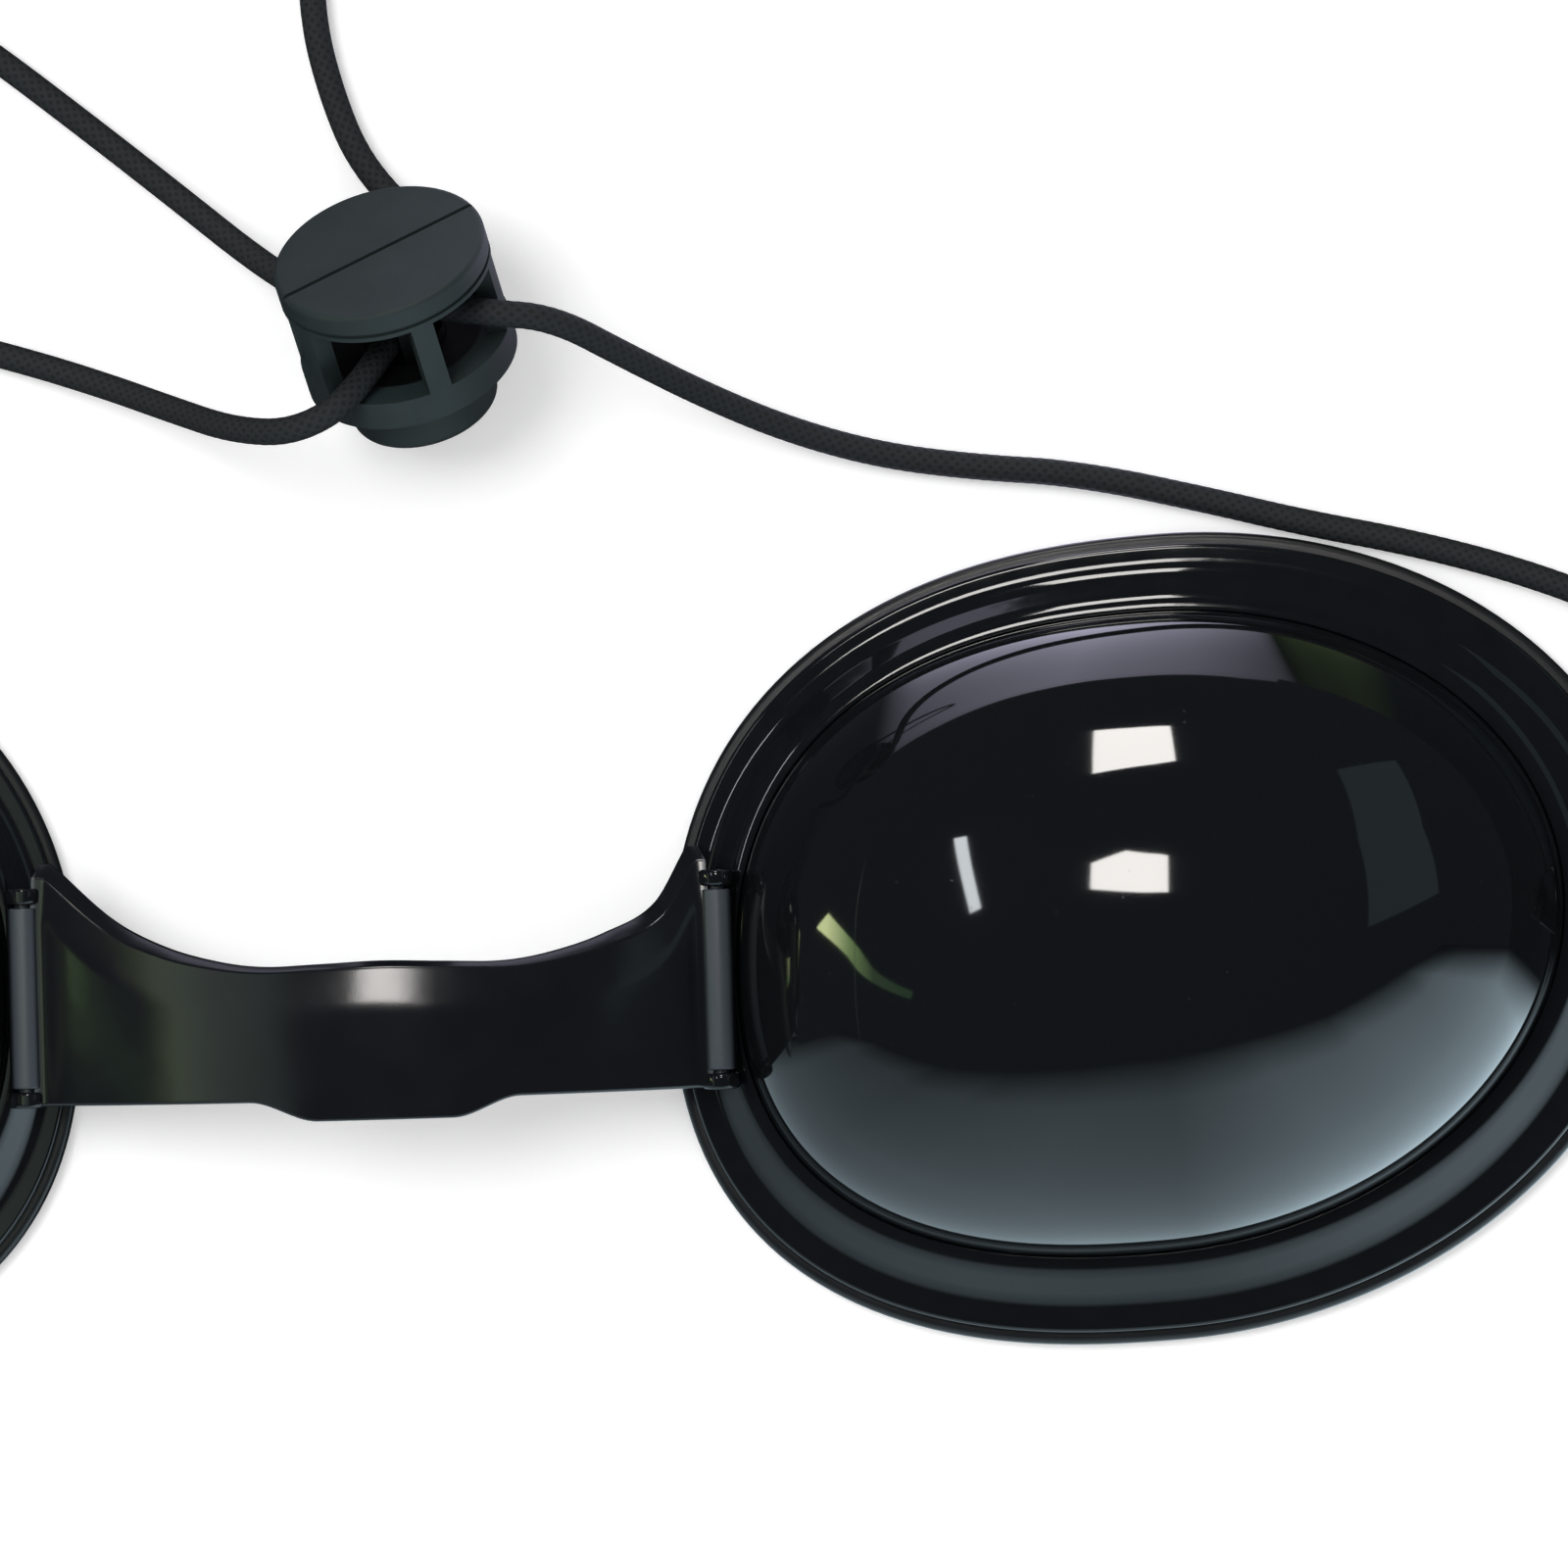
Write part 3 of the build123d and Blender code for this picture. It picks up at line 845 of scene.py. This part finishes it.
def ring_piece(corners, name, finish):
    """A ring round the cup with a rounded section."""
    mesh = bmesh.new()
    loops = [add_loop(mesh, inset, height) for inset, height in rounded(corners)]
    for first, second in zip(loops, loops[1:] + loops[:1]):
        bridge_loops(mesh, first, second)
    return piece_from(mesh, name, finish, smooth=50)


right_frame_shell = ring_piece(frame_corners, "right_frame_shell", "frame_gloss")
print("frame ring", len(right_frame_shell.data.polygons), "faces")

# %% [markdown]
# ## Ears and hinge lugs
#
# The ear and the two lugs are small plates with moulded edges. A flat filled curve with a bevel
# makes such a plate with its hole in one go; it then becomes mesh and joins the frame's ring.

# %% Rounded plates from flat curves


def circle_points(centre, radius, start=0.0, end=2 * math.pi, count=32, closed=True):
    """Points round a circle or an arc."""
    last = count if closed else count - 1
    turns = [start + (end - start) * number / last for number in range(count)]
    return [(centre[0] + radius * math.cos(a), centre[1] + radius * math.sin(a)) for a in turns]


def plate(name, outlines, thickness, edge):
    """A plate of the outlines, with rounded edges; its middle plane is z = 0."""
    curve = bpy.data.curves.new(name, "CURVE")
    curve.dimensions = "2D"
    curve.fill_mode = "BOTH"
    curve.extrude = thickness / 2 - edge
    curve.bevel_depth = edge
    curve.bevel_resolution = 3
    curve.offset = -edge
    for outline in outlines:
        spline = curve.splines.new("POLY")
        spline.points.add(len(outline) - 1)
        for point, (x, y) in zip(spline.points, outline):
            point.co = (x, y, 0.0, 1.0)
        spline.use_cyclic_u = True
    holder = bpy.data.objects.new(name, curve)
    bpy.context.scene.collection.objects.link(holder)
    mesh = bmesh.new()
    mesh.from_mesh(bpy.data.meshes.new_from_object(holder))
    bpy.data.objects.remove(holder)
    bmesh.ops.remove_doubles(mesh, verts=mesh.verts, dist=0.001 * mm)
    bmesh.ops.recalc_face_normals(mesh, faces=mesh.faces)
    return mesh


def join_into(piece, meshes):
    """Add bmeshes to a piece's own mesh."""
    whole = bmesh.new()
    whole.from_mesh(piece.data)
    for mesh in meshes:
        addition = bpy.data.meshes.new("addition")
        mesh.to_mesh(addition)
        mesh.free()
        addition.polygons.foreach_set("use_smooth", [True] * len(addition.polygons))
        whole.from_mesh(addition)
        bpy.data.meshes.remove(addition)
    whole.to_mesh(piece.data)
    whole.free()
    piece.data.set_sharp_from_angle(angle=math.radians(50))


print("plate helpers ready")

# %% Ear and lugs
ear_centre = Vector((74.4, 1.58)) * mm
ear_radius = 2.2 * mm
ear_thickness = 1.2 * mm
ear_bottom = 2.6 * mm
ear_root = 6.2 * mm
ear_hole = 1.0 * mm
web_centre_x = 69.45 * mm
web_width = 2.4 * mm
web_thickness = 0.9 * mm
web_edge = 0.08 * mm
pin_z = 4.75 * mm
lug_radius = 1.05 * mm
lug_thickness = 0.9 * mm
hinge_low_y = -7.6 * mm
hinge_high_y = 4.65 * mm
lug_half_run = 0.95 * mm
edge_radius = 0.22 * mm


def ear_plate():
    """The ear: a half round with straight sides and the cord's hole."""
    end = circle_points(ear_centre, ear_radius, -math.pi / 2, math.pi / 2, closed=False)
    root_x = ear_centre.x - ear_root
    end += [(root_x, ear_centre.y + ear_radius), (root_x, ear_centre.y - ear_radius)]
    hole = circle_points(ear_centre, ear_hole)
    mesh = plate("ear", [end, hole], ear_thickness, edge_radius)
    bmesh.ops.translate(mesh, verts=mesh.verts, vec=(0, 0, ear_bottom + ear_thickness / 2))
    return mesh


def ear_web():
    """The web that carries the ear on the flange."""
    left, right = web_centre_x - web_width / 2, web_centre_x + web_width / 2
    low, high = ear_centre.y - ear_radius, ear_centre.y + ear_radius
    outline = [(left, low), (right, low), (right, high), (left, high)]
    mesh = plate("web", [outline], web_thickness, web_edge)
    bmesh.ops.translate(mesh, verts=mesh.verts, vec=(0, 0, (flange_top + ear_bottom) / 2))
    return mesh


def lug(middle_y):
    """A hinge lug: a rounded post, drawn in X and Z and stood up at middle_y."""
    outline = circle_points((pin_x, pin_z), lug_radius, 0.0, math.pi, closed=False)
    foot = flange_top - edge_radius
    outline += [(pin_x - lug_half_run, foot), (pin_x + lug_half_run, foot)]
    mesh = plate("lug", [outline], lug_thickness, edge_radius)
    for vertex in mesh.verts:
        x, up, depth = vertex.co
        vertex.co = (x, middle_y - depth, up)
    bmesh.ops.recalc_face_normals(mesh, faces=mesh.faces)
    return mesh


lug_places = (hinge_high_y - lug_thickness / 2, hinge_low_y + lug_thickness / 2)
join_into(right_frame_shell, [ear_plate(), ear_web(), *(lug(y) for y in lug_places)])
both_cups(right_frame_shell, "cup_frame")

# %% [markdown]
# ## Face seals
#
# The seal is a soft ring with a rounded lip that peeps out all round the flange. It is the same ring
# helper with fuller radii.

# %% Face seals
seal_inner_inset = 4.7 * mm
seal_lip_round = 0.5 * mm
seal_bore_round = 0.15 * mm
skin_round = 0.3 * mm
seal_corners = (
    (0.0, 0.0, seal_lip_round),
    (0.0, seal_height, seal_lip_round),
    (seal_inner_inset, seal_height, seal_bore_round),
    (seal_inner_inset, 0.0, skin_round),
)
both_cups(ring_piece(seal_corners, "right_seal_ring", "seal_rubber"), "face_seal")

# %% [markdown]
# ## Nose bridge
#
# The bridge is an arched band. Seen from above its upper edge dips in a long curve and its lower
# edge has a small flat tab in the middle; the upper edge is cut to a bevel that catches light. Each
# cross-section is a rounded box, and the sections are joined along the arch.

# %% Bridge band
band_half_span = 18.0 * mm
band_end_x = 18.6 * mm
arch_rise = 4.6 * mm
band_thickness = 1.3 * mm
band_shift = 0.8
band_shoulder, band_dimple = 6.0, 0.18
waist = ((3.6, 0.06), (6.84, 0.0), (9.54, 0.42), (12.42, 1.32), (15.3, 2.88))
upper_edge = (
    (-band_half_span / mm, band_shoulder),
    *((band_shift - x, y) for x, y in reversed(waist)),
    (band_shift, band_dimple),
    *((band_shift + x, y) for x, y in waist),
    (band_half_span / mm, band_shoulder),
)
tab_edge, tab_half_width = -8.6 * mm, 3.7 * mm
foot_edge, tab_run_out = -7.5 * mm, 7.4 * mm
band_stations = 140
bevel_least = 0.35 * mm
bevel_growth = 0.45 * mm
bevel_steepness = 1.05
bevel_growth_from = 0.3
crown_run = 2.2 * mm
crown_round = 0.5 * mm
band_thinning = 0.26 * mm
band_low_rounds = (0.15 * mm, 0.2 * mm)
band_top_round = 0.1 * mm
bevel_foot_round = 0.08 * mm


def edge_at(x, points):
    """Height of a smooth line through the points, which are in millimetres, at x in metres."""
    x = x / mm
    last = len(points) - 2
    index = min(sum(x > p[0] for p in points[1:]), last)
    (x0, y0), (x1, y1) = points[index], points[index + 1]
    before = points[index - 1] if index else (2 * x0 - x1, 2 * y0 - y1)
    after = points[index + 2] if index < last else (2 * x1 - x0, 2 * y1 - y0)
    run = x1 - x0
    slope0 = (y1 - before[1]) / (x1 - before[0]) * run
    slope1 = (after[1] - y0) / (after[0] - x0) * run
    t = min((x - x0) / run, 1.0)
    h00, h10 = 2 * t**3 - 3 * t**2 + 1, t**3 - 2 * t**2 + t
    h01, h11 = 3 * t**2 - 2 * t**3, t**3 - t**2
    return (h00 * y0 + h10 * slope0 + h01 * y1 + h11 * slope1) * mm


def smooth_step(share):
    share = min(max(share, 0.0), 1.0)
    return share * share * (3 - 2 * share)


def lower_at(x):
    """The band's lower edge: straight, with a flat tab in the middle."""
    share = smooth_step((abs(x) - tab_half_width) / (tab_run_out - tab_half_width))
    return tab_edge + (foot_edge - tab_edge) * share


arch_radius = (band_half_span**2 + arch_rise**2) / (2 * arch_rise)


def arch_frame(x):
    """The arch's height at x and its upward normal there."""
    centre_z = pin_z + arch_rise - arch_radius
    height = centre_z + math.sqrt(arch_radius**2 - x**2)
    return height, Vector((x, 0.0, height - centre_z)).normalized()


def band_section(x):
    """Corners of the band's section at x: (y, offset along the normal, rounding)."""
    top, low = edge_at(x, upper_edge), lower_at(x - band_shift * mm)
    half = band_thickness / 2
    outwards = (abs(x) / band_half_span - bevel_growth_from) / (1 - bevel_growth_from)
    bevel = bevel_least + bevel_growth * smooth_step(outwards)
    edge = half - band_thinning
    under_round, face_round = band_low_rounds
    return (
        (low, -half, under_round),
        (low, half, face_round),
        (top - bevel - crown_run, half, crown_round),
        (top - bevel, edge, band_top_round),
        (top, edge - bevel * bevel_steepness, bevel_foot_round),
        (top, -half, band_top_round),
    )


band_mesh = bmesh.new()
sections = []
for station in range(band_stations + 1):
    station_x = band_end_x * (2 * station / band_stations - 1)
    arch_x = max(-band_half_span, min(band_half_span, station_x))
    arch_z, normal = arch_frame(arch_x)
    spine = Vector((station_x, 0.0, arch_z))
    profile = rounded(band_section(arch_x))
    corners = [spine + Vector((0, y, 0)) + normal * lift for y, lift in profile]
    sections.append([band_mesh.verts.new(corner) for corner in corners])
for first, second in zip(sections, sections[1:]):
    for number in range(len(first)):
        following = (number + 1) % len(first)
        band_mesh.faces.new((first[number], first[following], second[following], second[number]))
band_mesh.faces.new(sections[0])
band_mesh.faces.new(list(reversed(sections[-1])))
bmesh.ops.recalc_face_normals(band_mesh, faces=band_mesh.faces)
bridge_band = piece_from(band_mesh, "bridge_band", "bridge_rubber", smooth=35)
print("bridge band", len(bridge_band.data.polygons), "faces")

# %% Bridge knuckles
knuckle_radius = 0.95 * mm
knuckle_bore = 0.5 * mm
knuckle_round, bore_round = 0.12 * mm, 0.06 * mm
knuckle_turns = 48
lug_gap = 0.2 * mm
knuckle_length = hinge_high_y - hinge_low_y - 2 * lug_thickness - 2 * lug_gap
knuckle_middle = (hinge_high_y + hinge_low_y) / 2


def knuckle(side):
    """A hollow barrel round the hinge pin."""
    half = knuckle_length / 2
    corners = (
        (knuckle_bore, -half, bore_round), (knuckle_radius, -half, knuckle_round),
        (knuckle_radius, half, knuckle_round), (knuckle_bore, half, bore_round),
    )
    mesh = bmesh.new()
    loops = []
    for radius, along in rounded(corners):
        ring = circle_points((side * pin_x, pin_z), radius, count=knuckle_turns)
        loops.append([mesh.verts.new((x, knuckle_middle + along, z)) for x, z in ring])
    for first, second in zip(loops, loops[1:] + loops[:1]):
        for number in range(knuckle_turns):
            following = (number + 1) % knuckle_turns
            mesh.faces.new((first[number], first[following], second[following], second[number]))
    bmesh.ops.recalc_face_normals(mesh, faces=mesh.faces)
    return mesh


join_into(bridge_band, [knuckle(1), knuckle(-1)])
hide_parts("nose_bridge")
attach(bridge_band, "bridge")
print("bridge with knuckles", len(bridge_band.data.polygons), "faces")

# %% [markdown]
# ## Imported pieces that keep their shape
#
# The pins, the lock's barrel and its plunger are right as they are, so they only take a finish. The
# spring keeps its shape too; a copy of it with the spring finish stands in for it.

# %% Finishes for imported pieces
for node, finish in (
    ("right_hinge_pin", "pin_plastic"),
    ("left_hinge_pin", "pin_plastic"),
    ("lock_barrel", "lock_matte"),
    ("lock_plunger", "lock_matte"),
):
    frame["nodes"][node].data.materials.clear()
    frame["nodes"][node].data.materials.append(finishes[finish])
print("four packed pieces dressed")

# %% Spring copy with the steel finish
spring_data = frame["nodes"]["lock_spring"].data.copy()
spring_data.materials.clear()
spring_data.materials.append(finishes["spring_steel"])
spring = place_piece(spring_data, "spring_wire", "spring_steel")
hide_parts("lock_spring")
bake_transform(spring)

# %% [markdown]
# ## Cord stretches baked in place
#
# Each stretch of cord has its place baked into its mesh, and the lengths of all the stretches add up
# to the cord's whole length.


for side, sign in (("right", 1), ("left", -1)):
    outer, inner = cords[side + "_cord_outer"][0], cords[side + "_cord_inner"][0]
    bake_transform(outer)
    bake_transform(inner)
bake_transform(cords["cord_loop"][0])

whole_length = sum(length for _, _, length in cords.values())
print("cord declared, whole length", round(whole_length / mm, 1), "mm")

# %% [markdown]
# ## Floor, light and what the gloss mirrors
#
# The table is white and plain. Polished black shows little but its surroundings, so the room matters
# as much as the lamps. Mirror rays see a compass of light round the cup: a pale wall and table in
# front, a strip of bright table behind, and darkness at the sides.

# %% Compass of light
mirror_middle = Vector((43.5, 0.5, 10.0)) * mm
compass_peak = 4.0
cool, violet, leaf = (0.78, 1.0, 1.12), (0.95, 0.93, 1.2), (0.7, 1.1, 0.45)
compass_marks = (
    (-180, 0.02, cool), (-167, 0.03, cool), (-161, 0.95, cool), (-140, 1.1, cool), (-118, 1.5, cool),
    (-98, 1.75, cool), (-82, 1.6, cool), (-60, 2.8, cool), (-40, 3.3, cool), (-20, 3.4, cool),
    (-12, 0.03, cool), (50, 0.04, cool), (57, 0.2, leaf), (66, 0.16, leaf), (69, 0.05, leaf),
    (71, 0.7, violet), (84, 1.9, violet), (98, 2.7, violet), (126, 1.0, violet),
    (133, 0.06, violet), (180, 0.02, cool),
)


def stage_material(name):
    """A bare material and its nodes."""
    material = bpy.data.materials.new(name)
    material.use_nodes = True
    material.node_tree.nodes.clear()
    return material, Nodes(material.node_tree)


def compass(nodes):
    """The light that comes from a point of the stage, by its direction from the cup, and its height."""
    place = nodes.node("ShaderNodeTexCoord", output=3)
    apart = nodes.tree.nodes.new("ShaderNodeSeparateXYZ")
    nodes.feed(apart.inputs[0], place)
    x, y, height = (Sock(nodes, socket) for socket in apart.outputs)
    turn = nodes.maths("ARCTAN2", y - mirror_middle.y, x - mirror_middle.x)
    stops = [
        ((azimuth + 180) / 360, tuple(level * share / compass_peak / max(tint) for share in tint))
        for azimuth, level, tint in compass_marks
    ]
    light = nodes.node("ShaderNodeValToRGB", {"stops": stops}, in_0=turn / (2 * math.pi) + 0.5)
    return light, height


def stage_piece(name, points, faces, material):
    """A piece of the stage from plain points and faces."""
    data = bpy.data.meshes.new(name)
    data.from_pydata(points, [], faces)
    data.materials.append(material)
    made = bpy.data.objects.new(name, data)
    bpy.context.scene.collection.objects.link(made)
    return made


print("compass with", len(compass_marks), "marks")

# %% Floor
floor_half = 3.0
floor_white = 0.9
floor_lift = 0.3

floor_material, floor_nodes = stage_material("white_table")
ray = floor_nodes.tree.nodes.new("ShaderNodeLightPath")
camera_ray = Sock(floor_nodes, ray.outputs["Is Camera Ray"])
glossy_ray = Sock(floor_nodes, ray.outputs["Is Glossy Ray"])
cloth = floor_nodes.node("ShaderNodeBsdfDiffuse", Color=(floor_white, floor_white, floor_white, 1.0))
lift = floor_nodes.node("ShaderNodeEmission", Strength=camera_ray * floor_lift)
shown = floor_nodes.node("ShaderNodeAddShader", in_0=cloth, in_1=lift)
compass_light, _ = compass(floor_nodes)
mirrored_table = floor_nodes.node("ShaderNodeEmission", Color=compass_light, Strength=compass_peak)
surface = floor_nodes.node("ShaderNodeMixShader", in_0=glossy_ray, in_1=shown, in_2=mirrored_table)
floor_nodes.node("ShaderNodeOutputMaterial", Surface=surface)
floor_points = [(x, y, 0.0) for x in (-floor_half, floor_half) for y in (-floor_half, floor_half)]
stage_piece("table", floor_points, [(0, 2, 3, 1)], floor_material)
print("table", 2 * floor_half, "m wide")

# %% Room light
daylight_strength = 0.75
dim_room_colour = (0.055, 0.065, 0.078, 1.0)
lamp_place = Vector((-0.35, 0.25, 0.8))
lamp_width = 0.5
lamp_power = 4.0

room = bpy.data.worlds.new("room")
room.use_nodes = True
bpy.context.scene.world = room
room_nodes = Nodes(room.node_tree)
room_nodes.tree.nodes.clear()
room_ray = room_nodes.tree.nodes.new("ShaderNodeLightPath")
daylight = room_nodes.node("ShaderNodeBackground", Strength=daylight_strength)
dim_room = room_nodes.node("ShaderNodeBackground", Color=dim_room_colour)
white_wall = room_nodes.node("ShaderNodeBackground")
room_glossy = Sock(room_nodes, room_ray.outputs["Is Glossy Ray"])
room_camera = Sock(room_nodes, room_ray.outputs["Is Camera Ray"])
indoors = room_nodes.node("ShaderNodeMixShader", in_0=room_glossy, in_1=daylight, in_2=dim_room)
all_round = room_nodes.node("ShaderNodeMixShader", in_0=room_camera, in_1=indoors, in_2=white_wall)
room_nodes.node("ShaderNodeOutputWorld", Surface=all_round)

lamp_data = bpy.data.lights.new("soft_lamp", "AREA")
lamp_data.shape = "DISK"
lamp_data.size = lamp_width
lamp_data.energy = lamp_power
lamp = bpy.data.objects.new("soft_lamp", lamp_data)
lamp.location = lamp_place
lamp.rotation_euler = (-lamp_place).to_track_quat("-Z", "Y").to_euler()
lamp.visible_glossy = False
bpy.context.scene.collection.objects.link(lamp)
print("room and lamp ready")

# %% [markdown]
# ## Cards that only the mirror images see
#
# A product photographer shapes the light on black gloss with cards. Each card here is placed by the
# azimuth and tilt at which the cup sees it, and is hidden from the camera, the floor and the shadows.
# Bright windows give the crisp highlights, and walls with a faded top edge give the soft ones.

# %% Window cards
card_distance = 1.6


def towards(azimuth, tilt):
    """The point of a great sphere round the cup at an azimuth and a tilt from straight up, in degrees."""
    turn, lean = math.radians(azimuth), math.radians(tilt)
    flat = math.sin(lean)
    heading = Vector((math.cos(turn) * flat, math.sin(turn) * flat, math.cos(lean)))
    return mirror_middle + heading * card_distance


def card(name, points, colour, strength, faces=None):
    """A card that only mirror rays see; colour may be a function of the card's nodes."""
    material, nodes = stage_material(name)
    shade = colour(nodes) if callable(colour) else rgb(*colour)
    glow = nodes.node("ShaderNodeEmission", Color=shade, Strength=strength)
    nodes.node("ShaderNodeOutputMaterial", Surface=glow)
    made = stage_piece(name, points, faces or [tuple(range(len(points)))], material)
    made.visible_camera = False
    made.visible_diffuse = False
    made.visible_shadow = False
    return made


warm_white, cool_white, wall_grey = (255, 252, 248), (240, 246, 250), (118, 136, 142)
windows = {
    "high_window": (((96, 62), (87, 61), (85, 47), (98, 45)), warm_white, 22.0),
    "low_window": (((111, 18), (94, 20), (80, 18), (68, 9), (125, 12)), warm_white, 22.0),
    "window_edge": (((141, 42), (138, 40), (167, 27), (170, 29)), cool_white, 16.0),
    "side_wall": (((-5, 38), (30, 42), (52, 56), (45, 72), (26, 60), (5, 57)), wall_grey, 1.5),
}
for name, (corners, colour, strength) in windows.items():
    card(name, [towards(*corner) for corner in corners], colour, strength)
print(len(windows), "window cards ready")

# %% Pale wall in front, low wall behind
front_top = (
    (-166, 66), (-158, 54), (-140, 43), (-120, 36), (-100, 33),
    (-80, 32), (-60, 34), (-40, 41), (-20, 51), (-11, 60),
)
back_top = ((72, 88), (77, 87), (85, 87.5), (95, 88.5), (106, 88), (118, 87), (130, 87), (133, 88))
front_fade = ((0.0, 1.0), (0.3, 0.88), (0.55, 0.77), (0.74, 0.66), (0.88, 0.32), (1.0, 0.03))
back_fade = ((0.0, 1.0), (1.0, 0.9))
wall_foot_tilt = 91


def wall(name, top_line, fade):
    """A wall from the horizon up to a line of azimuths and tilts; its light fades towards the top."""

    def shade(nodes):
        light, _ = compass(nodes)
        rise = nodes.node("ShaderNodeAttribute", {"attribute_name": "rise"}, output=2)
        dimming = nodes.node("ShaderNodeValToRGB", {"stops": fade}, in_0=rise)
        return nodes.vector("MULTIPLY", light, dimming)

    count = len(top_line)
    points = [towards(azimuth, wall_foot_tilt) for azimuth, _ in top_line]
    points += [towards(*mark) for mark in top_line]
    faces = [(n, n + 1, count + n + 1, count + n) for n in range(count - 1)]
    made = card(name, points, shade, compass_peak, faces)
    rises = made.data.attributes.new("rise", "FLOAT", "POINT")
    rises.data.foreach_set("value", [0.0] * count + [1.0] * count)
    print(name, "with", len(faces), "panels")


wall("front_wall", front_top, front_fade)
wall("low_back_wall", back_top, back_fade)

# %% Green-lit strip beside the nose
strip_strength = 14.0
strip_corners = ((173, 71), (-179, 56), (-171, 42), (-169, 43), (-178, 59), (176, 76))
strip_stops = (
    (0.28, (0.025, 0.05, 0.025)), (0.4, (0.035, 0.06, 0.03)),
    (0.52, (0.2, 0.3, 0.12)), (0.68, (0.8, 0.9, 0.45)),
)


def strip_shade(nodes):
    """Green high up, yellow-white low down."""
    _, height = compass(nodes)
    low = 1.0 - height / card_distance
    return nodes.node("ShaderNodeValToRGB", {"stops": strip_stops}, in_0=low)


strip_faces = [(number, number + 1, 4 - number, 5 - number) for number in range(2)]
card("green_strip", [towards(*c) for c in strip_corners], strip_shade, strip_strength, strip_faces)
print("green strip with", len(strip_faces), "panels")

# %% [markdown]
# ## Soft glow on the bridge
#
# In the photograph the satin band carries a grey-green sheen left of its middle that the dome doesn't
# show. So this card hangs close to the band, in a plane that the dome sees edge-on.

# %% Glow card
glow_strength = 2.3
glow_near, glow_far = -10 * mm, -70 * mm
glow_rise = 0.6
glow_half_width = 24 * mm
edge_on_x, edge_on_z = 27.3 * mm, 12.0 * mm
glow_stops = (
    (0.0, (0.01, 0.01, 0.01)), (0.12, (0.2, 0.25, 0.22)), (0.36, (0.34, 0.42, 0.36)),
    (0.6, (0.55, 0.7, 0.45)), (0.75, (0.3, 0.38, 0.2)), (1.0, (0.01, 0.01, 0.01)),
)


def glow_shade(nodes):
    """Grey-green over the bridge's middle, yellower and then dark further out."""
    apart = nodes.tree.nodes.new("ShaderNodeSeparateXYZ")
    nodes.feed(apart.inputs[0], nodes.node("ShaderNodeTexCoord", output=3))
    outwards = nodes.stretch(Sock(nodes, apart.outputs[0]), glow_near, glow_far)
    return nodes.node("ShaderNodeValToRGB", {"stops": glow_stops}, in_0=outwards)


glow_corners = [
    (x, y, edge_on_z + glow_rise * (edge_on_x - x))
    for x, y in (
        (glow_near, -glow_half_width), (glow_near, glow_half_width),
        (glow_far, glow_half_width), (glow_far, -glow_half_width),
    )
]
card("bridge_glow", glow_corners, glow_shade, glow_strength)
print("mirror cards ready")

# %% Colour view
bpy.context.scene.view_settings.view_transform = "Standard"
